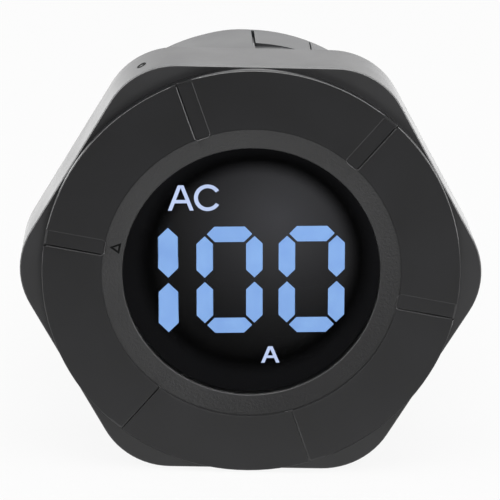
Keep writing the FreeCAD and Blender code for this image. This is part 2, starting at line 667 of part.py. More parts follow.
def socket_shell():
    x0, x1, z0, z1 = socket_outline(0)
    rear = BAY_FLOOR_Y + SOCKET_L
    shell = box(x0, x1, BAY_FLOOR_Y, rear, z0, z1)
    cuts = [box(x0 + SOCKET_WALL, x1 - SOCKET_WALL, BAY_FLOOR_Y + SOCKET_BASE_T,
                rear + 1, z0 + SOCKET_WALL, z1 - SOCKET_WALL)]
    cuts += socket_pin_passage(BAY_FLOOR_Y - 1, rear)
    for side in SIDES.values():
        middle = side * SOCKET_KEY_X
        cuts.append(box(middle - SOCKET_KEY_W / 2, middle + SOCKET_KEY_W / 2,
                        BAY_FLOOR_Y + SOCKET_BASE_T, rear + 1, z0 - 1, z0 + SOCKET_H / 2))
    return shell.cut(cuts)


def socket_pins():
    """Two square pins, each bent down to the main board behind the bays."""
    half = SOCKET_PIN_W / 2
    foot_y = MAIN_BOARD_END_Y - SOCKET_PIN_FOOT
    tip_y = BAY_FLOOR_Y + SOCKET_L - SOCKET_PIN_TIP
    pins = []
    for x in (-SOCKET_PIN_PITCH / 2, SOCKET_PIN_PITCH / 2):
        straight = box(x - half, x + half, foot_y, tip_y, SOCKET_Z - half, SOCKET_Z + half)
        down = box(x - half, x + half, foot_y, foot_y + SOCKET_PIN_W,
                   MAIN_BOARD_TOP_Z, SOCKET_Z + half)
        pins.append(straight.fuse(down).removeSplitter())
    return group(pins)


# Panel fixing: the nut draws a captive thrust washer against the panel's back

def nut_pad_cuts(angle):
    """Sets off one grip pad: a slot and a nick at its ends, a ramp before it."""
    pad_front = NUT_FRONT_Y + NUT_PAD_FRONT_RIM
    pad_rear = NUT_FRONT_Y + NUT_L - NUT_PAD_REAR_RIM
    cuts = []
    for turn, width, depth in ((0, NUT_SLOT_W, NUT_SLOT_DEEP),
                               (NUT_PAD_SPAN, NUT_NICK_W, NUT_NICK_DEEP)):
        slot = box(NUT_R - depth, NUT_R + 1, pad_front, pad_rear, -width / 2, width / 2)
        cuts.append(turn_about_axis(slot, angle - turn))
    stations = [(NUT_R + 1, 0)]
    for share in (0, 0.33, 0.67, 1):
        depth = NUT_RAMP_DEEP * (1 - share) + 0.02
        stations.append((NUT_R - depth, -NUT_RAMP_SPAN * share))
    stations.append((NUT_R + 1, -NUT_RAMP_SPAN))
    corners = []
    for radius, turn in stations:
        at = math.radians(angle + turn)
        corners.append((radius * math.cos(at), radius * math.sin(at)))
    cuts.append(prism(corners, NUT_FRONT_Y - 1, pad_front))
    return cuts


def lock_nut():
    front, rear = NUT_FRONT_Y, NUT_FRONT_Y + NUT_L
    bore_r = THREAD_CORE_R + RUNNING_CLEAR
    seat_r = THRUST_WASHER_R + SEAT_CLEAR
    seat_y = front + THRUST_WASHER_T - THRUST_WASHER_PROUD
    nut = turned([
        (seat_r, front), (NUT_R, front),
        (NUT_R, rear - NUT_EDGE), (NUT_R - NUT_EDGE, rear), (bore_r, rear),
        (bore_r, seat_y), (seat_r, seat_y),
    ])
    step = 360 / NUT_PAD_COUNT
    cuts = []
    for k in range(NUT_PAD_COUNT):
        cuts += nut_pad_cuts(NUT_PAD_FIRST_ANGLE + step * k)
    return nut.cut(cuts)


def thrust_washer():
    front = NUT_FRONT_Y - THRUST_WASHER_PROUD
    return tube(THRUST_WASHER_R, BARREL_R + WASHER_CLEAR, front, front + THRUST_WASHER_T)


def main():
    os.makedirs("parts", exist_ok=True)
    save("front_housing", front_housing())
    save("bezel_ring", bezel_ring())
    save("display_window", display_window())
    save("window_seal", tube(WINDOW_SEAL_R, WINDOW_SEAL_R - WINDOW_SEAL_W,
                             LIP_REAR_Y, WINDOW_FLANGE_Y))
    save("display_mask", display_mask())
    bar_front = MASK_FRONT_Y + LIGHT_BAR_RECESS
    save("lit_segments", light_bars(lit_outlines(), bar_front))
    save("unlit_segments", light_bars(unlit_outlines(), bar_front))
    save("legend_light_bars", light_bars(legend_outlines(), REFLECTOR_FRONT_Y))
    save("reflector_block", reflector_block())
    save("display_leds", display_leds())
    save("display_board", rod(DISPLAY_BOARD_R, DISPLAY_BOARD_Y, DISPLAY_BOARD_REAR_Y))
    save("display_driver_chip", box(
        -DRIVER_L / 2, DRIVER_L / 2, DISPLAY_BOARD_REAR_Y, DISPLAY_BOARD_REAR_Y + DRIVER_H,
        DRIVER_Z, DRIVER_Z + DRIVER_W))
    save("link_pins", link_pins())
    save("link_strip", link_strip())
    save("main_board", box(-MAIN_BOARD_HALF_W, MAIN_BOARD_HALF_W, MAIN_BOARD_START_Y,
                           MAIN_BOARD_END_Y, MAIN_BOARD_BOTTOM_Z, MAIN_BOARD_TOP_Z))
    save("film_capacitor", film_capacitor())
    save("smoothing_capacitor", smoothing_capacitor())
    save("fusible_resistor", fusible_resistor())
    save("fusible_resistor_leads", fusible_leads())
    save("meter_chip", under_board(CHIP_W, CHIP_L, CHIP_H, CHIP_X, CHIP_Y))
    save("bridge_rectifier",
         under_board(BRIDGE_W, BRIDGE_L, BRIDGE_H, BRIDGE_X, BRIDGE_Y))
    save("burden_resistor",
         under_board(BURDEN_W, BURDEN_L, BURDEN_H, BURDEN_X, BURDEN_Y))
    save("terminal_block", terminal_block())
    save("terminal_lugs", terminal_lugs())
    for name, side in SIDES.items():
        save("clamp_washer_" + name, clamp_washer(side))
        save("terminal_screw_" + name, terminal_screw(side))
    save("transformer_socket", socket_shell())
    save("transformer_socket_pins", socket_pins())
    save("panel_gasket", tube(GASKET_OUTER_R, GASKET_INNER_R, -GASKET_T, 0))
    save("thrust_washer", thrust_washer())
    save("lock_nut", lock_nut())


main()
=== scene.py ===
# %% [markdown]
# Digital panel ammeter for a 22 mm hole in a control panel.
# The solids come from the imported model: this lesson gives them their finishes, their small
# forms such as threads and rounded edges, and the light and camera to look at them by.
# The axis of the barrel is Y, its front faces -Y, and Z is up as the display is read.

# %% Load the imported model
import math

import bmesh
import bpy
from mathutils import Matrix, Vector


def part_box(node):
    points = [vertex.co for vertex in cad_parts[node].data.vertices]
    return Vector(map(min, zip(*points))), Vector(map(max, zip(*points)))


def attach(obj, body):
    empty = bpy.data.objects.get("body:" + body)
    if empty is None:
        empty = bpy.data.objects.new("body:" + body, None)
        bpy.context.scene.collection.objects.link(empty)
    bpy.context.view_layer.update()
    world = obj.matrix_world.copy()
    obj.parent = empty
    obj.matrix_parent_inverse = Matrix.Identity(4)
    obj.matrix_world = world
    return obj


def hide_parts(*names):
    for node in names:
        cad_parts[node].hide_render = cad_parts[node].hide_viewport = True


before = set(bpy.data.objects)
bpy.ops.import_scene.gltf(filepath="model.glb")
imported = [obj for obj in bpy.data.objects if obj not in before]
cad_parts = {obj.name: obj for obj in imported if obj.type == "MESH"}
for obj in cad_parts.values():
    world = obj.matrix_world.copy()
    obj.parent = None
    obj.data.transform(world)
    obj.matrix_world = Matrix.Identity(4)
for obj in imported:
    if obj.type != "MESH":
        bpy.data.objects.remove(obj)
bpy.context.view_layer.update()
MM = 0.001

# %% [markdown]
# Boxes are read from the solids, so that they follow the model. What a box can't tell, such
# as a slope's radii or a thread's pitch, is written here.

# %% Sizes
HOUSING_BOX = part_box("front_housing")
RING_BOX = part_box("bezel_ring")
WINDOW_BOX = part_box("display_window")
MASK_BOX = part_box("display_mask")
FACE_Y = RING_BOX[0].y
WINDOW_R = 9.19 * MM
WINDOW_FLAT_R = 9.1 * MM
WINDOW_RIM_DROP = 0.005 * MM
HEX_FLAT = 15.0 * MM
HEX_ROUND_R = 5.45 * MM
FLANGE_CHAMFER = 0.35 * MM
FLANGE_CHAMFER_SEEN = 0.08 * MM
SLOPE_INNER_R = 9.2 * MM
SLOPE_OUTER_R = 10.67 * MM
SLOPE_STEP = 0.1 * MM
SLOPE_DEPTH = 0.4 * MM
DISPLAY_TURN = math.radians(1.6)
BARREL_CREST_R = 11.0 * MM
BARREL_ROOT_R = 10.6 * MM
BARREL_PITCH = 1.5 * MM
BARREL_THREAD_START = 1.5 * MM
BARREL_THREAD_END = 21.5 * MM
SCREW_PITCH = 0.5 * MM
SECTION_TURN = -90
MERGE_DISTANCE = 0.0005 * MM
print("face at", round(FACE_Y / MM, 2), "mm")

# %% [markdown]
# The photograph was taken from a little above the axis with a long lens. The camera's place
# and its small roll were fitted to the round ring, the window and the hexagon's corners.
# The field of view comes from half the picture and the focal length, both in pixels.

# %% Camera
CAMERA_AZIMUTH = math.radians(-2.19)
CAMERA_ELEVATION = math.radians(17.14)
CAMERA_ROLL = math.radians(1.68)
CAMERA_DISTANCE = 190 * MM
CAMERA_TARGET = Vector((-0.17, -6.7, 1.87)) * MM
PICTURE_HALF = 250
FOCAL_LENGTH = 2683
SENSOR_W = 36
NEAREST_SEEN = 0.01


def camera_axes(azimuth, elevation, roll):
    """Right, up and back vectors of a camera that looks along +Y at azimuth zero."""
    back = Vector((math.sin(azimuth) * math.cos(elevation),
                   -math.cos(azimuth) * math.cos(elevation), math.sin(elevation)))
    level = Vector((math.cos(azimuth), math.sin(azimuth), 0))
    upright = back.cross(level)
    right = math.cos(roll) * level + math.sin(roll) * upright
    up = math.cos(roll) * upright - math.sin(roll) * level
    return right, up, back


def make_camera():
    right, up, back = camera_axes(CAMERA_AZIMUTH, CAMERA_ELEVATION, CAMERA_ROLL)
    place = CAMERA_TARGET + back * CAMERA_DISTANCE
    data = bpy.data.cameras.new("camera")
    data.sensor_width = SENSOR_W
    data.angle = 2 * math.atan(PICTURE_HALF / FOCAL_LENGTH)
    data.clip_start = NEAREST_SEEN
    camera = bpy.data.objects.new("camera", data)
    turn = Matrix((right, up, back)).transposed().to_4x4()
    camera.matrix_world = Matrix.Translation(place) @ turn
    bpy.context.scene.collection.objects.link(camera)
    bpy.context.scene.camera = camera
    return camera


camera = make_camera()
print("camera lens", round(camera.data.lens, 1), "mm")

# %% [markdown]
# Colours are written as sRGB hex values, as a paint chart gives them. The shader wants
# linear light, so one function turns one into the other. The others add nodes. Every pattern
# reads Object coordinates, which are metres from the model's origin.

# %% Helpers for colours and nodes
NOISE_LOW, NOISE_HIGH = 0.3, 0.7


def colour(hex_text):
    """Linear RGBA of an sRGB hex value such as 1A1A1C."""
    parts = [int(hex_text[k:k + 2], 16) / 255 for k in (0, 2, 4)]
    linear = [p / 12.92 if p <= 0.04045 else ((p + 0.055) / 1.055) ** 2.4 for p in parts]
    return (*linear, 1.0)


def fill(node, **inputs):
    """Gives inputs a value or a link: _ stands for a space in a name, in0 for the first."""
    for name, value in inputs.items():
        by_place = name.startswith("in") and name[2:].isdigit()
        socket = node.inputs[int(name[2:]) if by_place else name.replace("_", " ")]
        if isinstance(value, bpy.types.NodeSocket):
            node.id_data.links.new(value, socket)
        else:
            socket.default_value = value


def add(tree, kind, settings=None, **inputs):
    """Adds a node, sets its settings, and gives each input a value or a link."""
    made = tree.nodes.new(kind)
    for name, value in (settings or {}).items():
        setattr(made, name, value)
    fill(made, **inputs)
    return made


def new_material(name):
    """An empty material with its Principled shader and its Object coordinates."""
    material = bpy.data.materials.new(name)
    material.use_nodes = True
    tree = material.node_tree
    tree.nodes.clear()
    shader = tree.nodes.new("ShaderNodeBsdfPrincipled")
    add(tree, "ShaderNodeOutputMaterial", Surface=shader.outputs["BSDF"])
    place = tree.nodes.new("ShaderNodeTexCoord").outputs["Object"]
    return material, tree, shader, place


def noise(tree, place, size, detail, roughness=0.5):
    """Noise whose blobs are about size across, in metres."""
    return add(tree, "ShaderNodeTexNoise", Vector=place, Scale=1 / size, Detail=detail,
               Roughness=roughness).outputs["Fac"]


def spread(tree, value, low, high, from_low=NOISE_LOW, from_high=NOISE_HIGH, kind="LINEAR"):
    """The value moved from its own range onto low to high."""
    return add(tree, "ShaderNodeMapRange", {"interpolation_type": kind}, Value=value,
               From_Min=from_low, From_Max=from_high, To_Min=low, To_Max=high).outputs["Result"]


def calc(tree, operation, first, second=0.0):
    """One step of arithmetic."""
    return add(tree, "ShaderNodeMath", {"operation": operation}, in0=first, in1=second).outputs[0]


def between(tree, share, first, second):
    """A number between two, by a share from 0 to 1."""
    return add(tree, "ShaderNodeMix", {"data_type": "FLOAT"}, in0=share, in2=first,
               in3=second).outputs[0]


def two_tone(tree, share, dark, light, kind="MIX"):
    """A colour between two hex values or outputs, by a share from 0 to 1."""
    dark, light = [colour(tone) if isinstance(tone, str) else tone for tone in (dark, light)]
    return add(tree, "ShaderNodeMix", {"data_type": "RGBA", "blend_type": kind}, in0=share,
               in6=dark, in7=light).outputs[2]


def bump(tree, height, distance, strength):
    return add(tree, "ShaderNodeBump", Height=height, Distance=distance,
               Strength=strength).outputs["Normal"]


def distance_from(tree, place, middle):
    """Distance from a point as seen from the front."""
    away = add(tree, "ShaderNodeVectorMath", {"operation": "SUBTRACT"}, in0=place, in1=middle)
    flat = add(tree, "ShaderNodeVectorMath", {"operation": "MULTIPLY"},
               in0=away.outputs[0], in1=(1, 0, 1))
    return add(tree, "ShaderNodeVectorMath", {"operation": "LENGTH"},
               in0=flat.outputs[0]).outputs["Value"]


print("helpers ready")

# %% [markdown]
# Head, barrel and nut are ABS, coloured through and moulded against a spark-eroded tool.
# That leaves a fine pebble, which breaks the highlight and keeps the black from shining.
# The grain is about 0.12 mm, and larger, faint clouds in the gloss show how the melt flowed.

# %% Moulded ABS
PLASTIC_IOR = 1.5
GLOSS_DRIFT = 0.03


def moulded_plastic(name, dark, light, rough, grain, relief, cloud=4 * MM, level=0.5):
    """Two close tones in clouds, a slight drift of the gloss, and a pebble of a given grain."""
    material, tree, shader, place = new_material(name)
    clouds = noise(tree, place, cloud, detail=3)
    pebble = noise(tree, place, grain, detail=2, roughness=0.6)
    fill(shader, IOR=PLASTIC_IOR, Specular_IOR_Level=level,
         Base_Color=two_tone(tree, spread(tree, clouds, 0, 1), dark, light),
         Roughness=spread(tree, clouds, rough - GLOSS_DRIFT, rough + GLOSS_DRIFT),
         Normal=bump(tree, pebble, relief, strength=0.6))
    return material


housing_abs = moulded_plastic("abs_black_moulded_fine", "161617", "1B1B1D", 0.42, 0.13 * MM, 0.006 * MM)
nut_abs = moulded_plastic("abs_black_moulded_nut", "17181A", "1E1F21", 0.45, 0.16 * MM, 0.008 * MM)
block_pbt = moulded_plastic("pbt_black_glass_filled", "151515", "1D1D1E", 0.5, 0.1 * MM,
                            0.008 * MM, cloud=2 * MM)
print("moulded plastics:", housing_abs.name, nut_abs.name, block_pbt.name)

# %% [markdown]
# The bezel's flat face is smoother than the sloped band round the window, where the tool was
# eroded more coarsely and some gloss is lost. One material serves both: distance from the
# axis chooses the grain. The small step between them is duller still: its gloss is cut to
# paint a line of shade where the step's shadow falls, and no line of light runs round it.

# %% Bezel finish
GRAIN_BLEND = 0.1 * MM
BEZEL_CLOUD = 5 * MM
FACE_GRAIN, SLOPE_GRAIN = 0.11 * MM, 0.2 * MM
FACE_HEIGHT = 0.12
BEZEL_RELIEF = 0.025 * MM
FACE_ROUGH, SLOPE_ROUGH = 0.3, 0.38
FACE_SHINE, SLOPE_SHINE = 0.5, 0.4
STEP_HALF_W = 0.025 * MM
STEP_SHADE_SHINE = 0.6


def bezel_plastic():
    material, tree, shader, place = new_material("abs_black_bezel_two_grains")
    reach = distance_from(tree, place, (0, 0, 0))
    on_slope = spread(tree, reach, 1, 0, SLOPE_OUTER_R - GRAIN_BLEND, SLOPE_OUTER_R + GRAIN_BLEND)
    clouds = spread(tree, noise(tree, place, BEZEL_CLOUD, detail=4), 0, 1)
    face_tone = two_tone(tree, clouds, "151516", "1C1C1E")
    slope_tone = two_tone(tree, clouds, "141415", "1C1C1D")
    fine = spread(tree, noise(tree, place, FACE_GRAIN, detail=1), 0, FACE_HEIGHT, 0, 1)
    coarse = spread(tree, noise(tree, place, SLOPE_GRAIN, detail=3, roughness=0.7), 0, 1)
    shine = spread(tree, on_slope, FACE_SHINE, SLOPE_SHINE, 0, 1)
    from_step = calc(tree, "ABSOLUTE", calc(tree, "SUBTRACT", reach, SLOPE_OUTER_R))
    # The step's dulled gloss is painted shade: a dark line where the step's shadow falls.
    step_painted_shade = spread(tree, from_step, STEP_SHADE_SHINE, 1, STEP_HALF_W, 3 * STEP_HALF_W)
    fill(shader, IOR=PLASTIC_IOR, Base_Color=two_tone(tree, on_slope, face_tone, slope_tone),
         Roughness=spread(tree, on_slope, FACE_ROUGH, SLOPE_ROUGH, 0, 1),
         Specular_IOR_Level=calc(tree, "MULTIPLY", shine, step_painted_shade),
         Normal=bump(tree, between(tree, on_slope, fine, coarse), BEZEL_RELIEF, strength=0.7))
    return material


bezel_abs = bezel_plastic()
print("bezel finish:", bezel_abs.name)

# %% [markdown]
# Zinc plate is a fine, slightly mottled grey, nickel is warmer and smoother, brass lugs are
# stamped from rolled strip, and the pins are tinned copper. Gasket, socket, boards and their
# parts are rubber, plastics and resins that differ in tone, gloss and grain.

# %% Metals, rubber and small plastics
METAL_RELIEF = 0.002 * MM
SMOOTHER, ROUGHER = 0.06, 0.08


def plated_metal(name, dark, light, rough, grain):
    """One mottle moves the plate's tone, its gloss and a very low relief together."""
    material, tree, shader, place = new_material(name)
    mottle = noise(tree, place, grain, detail=3)
    fill(shader, Metallic=1.0,
         Base_Color=two_tone(tree, spread(tree, mottle, 0, 1), dark, light),
         Roughness=spread(tree, mottle, rough - SMOOTHER, rough + ROUGHER),
         Normal=bump(tree, mottle, METAL_RELIEF, strength=0.4))
    return material


zinc = plated_metal("steel_zinc_plated", "A9ACAE", "C9CCCE", 0.33, 0.5 * MM)
nickel = plated_metal("steel_nickel_plated", "B9B5AC", "D6D2C8", 0.25, 0.35 * MM)
brass = plated_metal("brass_stamped_strip", "B08A45", "CBA763", 0.3, 0.6 * MM)
tin = plated_metal("copper_tinned", "BFC2C4", "DADCDD", 0.28, 0.3 * MM)
rubber = moulded_plastic("epdm_rubber_soft", "121212", "191919", 0.75, 0.15 * MM, 0.01 * MM, 3 * MM, 0.3)
nylon = moulded_plastic("nylon_natural_moulded", "DAD6C8", "E6E2D6", 0.4, 0.2 * MM, 0.004 * MM)
white_pbt = moulded_plastic("pbt_white_reflector", "E2E2DE", "ECECE8", 0.35, 0.2 * MM, 0.003 * MM)
epoxy = moulded_plastic("epoxy_moulded_chip", "1A1B1D", "232427", 0.55, 0.12 * MM, 0.004 * MM, 1 * MM)
laminate = moulded_plastic("glass_laminate_green_mask", "16482C", "1E5A38", 0.3, 0.25 * MM,
                           0.004 * MM, cloud=2 * MM)
film_case = moulded_plastic("polyester_case_yellow", "B98F2A", "C9A23C", 0.35, 0.3 * MM, 0.003 * MM)
sleeve = moulded_plastic("pvc_sleeve_blue", "1C2A55", "24346A", 0.3, 0.3 * MM, 0.003 * MM)
lacquer = moulded_plastic("resistor_lacquer_blue", "4E7A93", "5E8BA5", 0.4, 0.2 * MM, 0.004 * MM)
# This matt black serves as ink and paint for marks and the lens's side, and on the gate's collar as
# painted shade.
matt_black_and_painted_shade = moulded_plastic("matt_black_mark_and_painted_shade", "030303", "070707", 0.85, 0.1 * MM,
                           0.002 * MM, level=0.1)
led_resin = moulded_plastic("led_package_pale", "D8CF9C", "E6DFB6", 0.3, 0.15 * MM, 0.003 * MM, 1 * MM)
print("metals:", zinc.name, nickel.name, brass.name, tin.name)

# %% [markdown]
# The digits are diffuser bars lit from behind by blue-white lamps. The light is even along a
# bar, so the emission has only a faint, slow variation.

# %% Lit diffusers
DIGIT_STRENGTH = 1.75
DIFFUSER_DRIFT = 1.5 * MM


def lit_diffuser(name, dim, bright):
    material, tree, shader, place = new_material(name)
    drift = spread(tree, noise(tree, place, DIFFUSER_DRIFT, detail=2), 0, 1)
    fill(shader, Base_Color=colour("202226"), Roughness=0.5,
         Emission_Color=two_tone(tree, drift, dim, bright), Emission_Strength=DIGIT_STRENGTH)
    return material


digit_light = lit_diffuser("diffuser_lit_blue_white", "86AEE8", "8FB8EE")
legend_light = lit_diffuser("legend_lit_pale_blue", "BFCFF2", "CBD9F8")
print("lit diffusers:", digit_light.name, legend_light.name)

# %% [markdown]
# Behind the window lies a film printed black. The photograph shows a dark grey haze there,
# strongest up and to the right, which ends in black under the window's rim. The studio that
# it came from isn't known, so here it is a faint glow of the film. The greys are as they
# look through the smoked window, which passes a little over half.

# %% Printed mask with painted glow
# The haze is painted light: the film's glow stands in for light seen in the window, the black band under
# the rim is painted shade, and the grey ring outside it is a painted reflection.
HAZE_PEAK = (2.0 * MM, 0, 3.8 * MM)
HAZE_FALL = ["404042", "383839", "2B2B2C", "1D1D1D", "0E0E0E"]
HAZE_REACH = 10 * MM
HAZE_MIDDLE = (0.25 * MM, 0, 0.5 * MM)
HAZE_FULL_R = 6.3 * MM
HAZE_END_R = 7.7 * MM
RIM_PAINTED_REFLECTION = "0F0F10"
RIM_BLACK_R = 7.6 * MM
RIM_GREY_R = 8.6 * MM
WINDOW_PASSES = 0.57
FILM_GRAIN = 0.08 * MM
FILM_RELIEF = 0.002 * MM


def haze_greys(tree, distance):
    """Greys that fall off evenly with the distance from the haze's peak."""
    fall = add(tree, "ShaderNodeValToRGB", Fac=spread(tree, distance, 0, 1, 0, HAZE_REACH))
    stops = fall.color_ramp.elements
    for k, tone in enumerate(HAZE_FALL):
        at = k / (len(HAZE_FALL) - 1)
        stop = stops[k] if k < 2 else stops.new(at)
        stop.position = at
        stop.color = colour(tone)
    return fall.outputs["Color"]


def printed_film():
    material, tree, shader, place = new_material("film_printed_black_painted_glow")
    greys = haze_greys(tree, distance_from(tree, place, HAZE_PEAK))
    reach = distance_from(tree, place, HAZE_MIDDLE)
    inside = spread(tree, reach, 1, 0, HAZE_FULL_R, HAZE_END_R, kind="SMOOTHSTEP")
    haze = two_tone(tree, 1.0, greys, inside, kind="MULTIPLY")
    rim = spread(tree, reach, 0, 1, RIM_BLACK_R, RIM_GREY_R)
    speck = noise(tree, place, FILM_GRAIN, detail=1)
    # Painted light: a glow for the haze, black under the rim for shade, and grey beyond it for a
    # reflection.
    fill(shader, Base_Color=colour("0A0A0A"), Roughness=0.7, Specular_IOR_Level=0.0,
         Emission_Color=two_tone(tree, rim, haze, RIM_PAINTED_REFLECTION), Emission_Strength=1 / WINDOW_PASSES,
         Normal=bump(tree, speck, FILM_RELIEF, strength=0.3))
    return material


mask_film = printed_film()
print("mask:", mask_film.name)

# %% [markdown]
# The window is smoked acrylic, cast smooth. Real refraction brings the digits forward by a
# third of the window's thickness, as in the photograph, so the window is true glass here.

# %% Smoked acrylic
SMOKE_DRIFT = 6 * MM


def smoked_acrylic():
    material, tree, shader, place = new_material("acrylic_smoked_polished")
    drift = spread(tree, noise(tree, place, SMOKE_DRIFT, detail=1), 0, 1)
    fill(shader, Base_Color=two_tone(tree, drift, "C4C5C8", "CACBCE"), Transmission_Weight=1.0,
         Roughness=0.02, IOR=1.49, Specular_IOR_Level=0.08)
    return material


window_acrylic = smoked_acrylic()
print("window:", window_acrylic.name)

# %% [markdown]
# Every solid gets its finish by name, also those that a rounded copy stands for later. The
# bars that aren't lit are printed over with the mask, so they wear its film.

# %% Finishes on the solids
FINISHES = {
    window_acrylic: ["display_window"],
    rubber: ["window_seal", "panel_gasket"],
    mask_film: ["display_mask", "unlit_segments"],
    digit_light: ["lit_segments"],
    legend_light: ["legend_light_bars"],
    white_pbt: ["reflector_block"],
    led_resin: ["display_leds"],
    laminate: ["display_board", "main_board"],
    epoxy: ["display_driver_chip", "meter_chip", "bridge_rectifier", "burden_resistor", "link_strip"],
    tin: ["link_pins", "transformer_socket_pins", "fusible_resistor_leads"],
    film_case: ["film_capacitor"],
    sleeve: ["smoothing_capacitor"],
    lacquer: ["fusible_resistor"],
    brass: ["terminal_lugs"],
    zinc: ["thrust_washer", "clamp_washer_left", "clamp_washer_right"],
    nickel: ["terminal_screw_left", "terminal_screw_right"],
    nylon: ["transformer_socket"],
    block_pbt: ["terminal_block"],
    housing_abs: ["front_housing"],
    bezel_abs: ["bezel_ring"],
    nut_abs: ["lock_nut"],
}
for material, names in FINISHES.items():
    for name in names:
        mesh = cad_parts[name].data
        mesh.materials.clear()
        mesh.materials.append(material)
print(sum(len(v) for v in FINISHES.values()), "solids dressed")

# %% [markdown]
# A moulded edge is never sharp: the tool leaves a small radius that catches a line of light.
# Flat triangles are joined first, and then a narrow bevel is cut along every sharp edge. Two
# rims of the ring draw crisp lines of light, so those are cut flat, each at its own width.
# The step at the slope's outer edge stays sharp: a rounded one would draw a third line.

# %% Edges
PLAIN_ANGLE = math.radians(0.6)
SHARP_ANGLE = math.radians(28)
OUTER_RIM_W = 0.2 * MM
RING_RIMS = [(SLOPE_INNER_R, FACE_Y + SLOPE_DEPTH, 0.06 * MM),
             (RING_BOX[1].x, FACE_Y, OUTER_RIM_W)]
RIM_REACH, STEP_REACH = 0.03 * MM, 0.02 * MM
CUT_REACH = 1.2


def on_circle(edge, radius, y, reach):
    """True for an edge that runs along a circle about the axis, within reach of it."""
    return all(abs(math.hypot(v.co.x, v.co.z) - radius) < reach and abs(v.co.y - y) < reach
               for v in edge.verts)


def sharp_edges(work):
    return [edge for edge in work.edges
            if len(edge.link_faces) == 2 and edge.calc_face_angle() > SHARP_ANGLE]


def cut_bevel(work, edges, width, segments):
    bmesh.ops.bevel(work, geom=edges, offset=width, offset_type="OFFSET", segments=segments,
                    profile=0.5, affect="EDGES", clamp_overlap=True)


def cut_rims(work):
    """Cuts the ring's two rims flat, and returns the edges that are left to be rounded."""
    sharp = sharp_edges(work)
    rims = [[edge for edge in sharp if on_circle(edge, radius, y, RIM_REACH)]
            for radius, y, width in RING_RIMS]
    for rim, (radius, y, width) in zip(rims, RING_RIMS):
        cut_bevel(work, rim, width, segments=1)
        print("rim of", len(rim), "edges cut flat")
    return [edge for edge in sharp_edges(work)
            if not on_circle(edge, SLOPE_OUTER_R, FACE_Y, STEP_REACH)
            and not any(on_circle(edge, radius, y, width * CUT_REACH)
                        for radius, y, width in RING_RIMS)]


print("edges over", round(math.degrees(SHARP_ANGLE)), "degrees will be rounded")

# %% [markdown]
# The flange's chamfer would show as a light band, so it is drawn in until only a narrow one
# is left. Grazing light also shows every facet of the flange's side, so the side gets the
# normals of its true form, a hexagon with round corners.

# %% Flange
PLANE_REACH = 0.002 * MM
SIDE_REACH = 0.03 * MM
SIXTH = math.radians(60)
FACES_FRONT = 0.1
NEAR_TRUE = 0.97
HEX_ROUND_AT = (HEX_FLAT - HEX_ROUND_R) / math.cos(math.pi / 6)


def narrow_chamfer(work):
    """Draws the chamfer round the flange's front together, until a narrow one is left."""
    front_y = HOUSING_BOX[0].y
    side_y = front_y + FLANGE_CHAMFER
    pairs = {}
    for edge in work.edges:
        first, second = sorted(edge.verts, key=lambda v: v.co.y)
        if abs(first.co.y - front_y) > PLANE_REACH or abs(second.co.y - side_y) > PLANE_REACH:
            continue
        if first not in pairs or edge.calc_length() < (pairs[first].co - first.co).length:
            pairs[first] = second
    share = 1 - FLANGE_CHAMFER_SEEN / FLANGE_CHAMFER
    moves = {first: Vector((second.co.x - first.co.x, 0, second.co.z - first.co.z)) * share
             for first, second in pairs.items()}
    for vert, move in moves.items():
        vert.co += move
    for vert in set(pairs.values()):
        vert.co.y -= FLANGE_CHAMFER * share
    print("chamfer drawn in at", len(moves), "points")


def hexagon_normal(x, z):
    """Normal of the round-cornered hexagon at a point of its side."""
    sector = round(math.atan2(z, x) / SIXTH) * SIXTH
    from_round = Vector((x - HEX_ROUND_AT * math.cos(sector), 0,
                         z - HEX_ROUND_AT * math.sin(sector)))
    lean = math.atan2(from_round.z, from_round.x) - sector
    lean = (lean + math.pi) % (2 * math.pi) - math.pi
    lean = max(-math.pi / 6, min(math.pi / 6, lean))
    return Vector((math.cos(sector + lean), 0, math.sin(sector + lean)))


def smooth_hexagon(mesh):
    """Gives the flange's side the normals of its true form, whatever facets it has."""
    normals = [Vector(corner.vector) for corner in mesh.corner_normals]
    changed = 0
    for face in mesh.polygons:
        if abs(face.normal.y) > FACES_FRONT:
            continue
        for loop in face.loop_indices:
            place = mesh.vertices[mesh.loops[loop].vertex_index].co
            far_out = math.hypot(place.x, place.z) > HEX_FLAT - SIDE_REACH
            on_side = HOUSING_BOX[0].y < place.y < 0 and far_out
            true_normal = hexagon_normal(place.x, place.z)
            if on_side and face.normal.dot(true_normal) > NEAR_TRUE:
                normals[loop] = true_normal
                changed += 1
    mesh.normals_split_custom_set(normals)
    print("flange side:", changed, "corners with true normals")


print("hexagon's corners turn about", round(HEX_ROUND_AT / MM, 2), "mm from the axis")

# %% [markdown]
# The terminal block clicks into the barrel with two catches, and the nut's bore passes over
# them at the end of its travel. Their corners are drawn in until they clear it.

# %% Catches
CATCH_REACH_R = 10.58 * MM
CATCH_END_Y = 25.0 * MM


def draw_in_catches(work):
    """Keeps the catches' corners inside the nut's bore, which passes over them."""
    drawn = 0
    for vert in work.verts:
        radius = math.hypot(vert.co.x, vert.co.z)
        if radius > CATCH_REACH_R and vert.co.y < CATCH_END_Y:
            vert.co.x *= CATCH_REACH_R / radius
            vert.co.z *= CATCH_REACH_R / radius
            drawn += 1
    print("catches drawn in at", drawn, "points")


print("catches end at", round(CATCH_REACH_R / MM, 2), "mm from the axis")

# %% [markdown]
# Each copy is joined, rounded and smoothed, and its normals are weighted by the area of the
# faces, so that large faces stay flat up to their bevels. Then it rides on the solid's body
# and stands for the solid in the picture.

# %% Rounded copies
KEEP_SHARP_ANGLE = math.radians(40)


def put(name, mesh):
    """An object for a mesh or curve, at the origin, in the scene."""
    made = bpy.data.objects.new(name, mesh)
    bpy.context.scene.collection.objects.link(made)
    return made


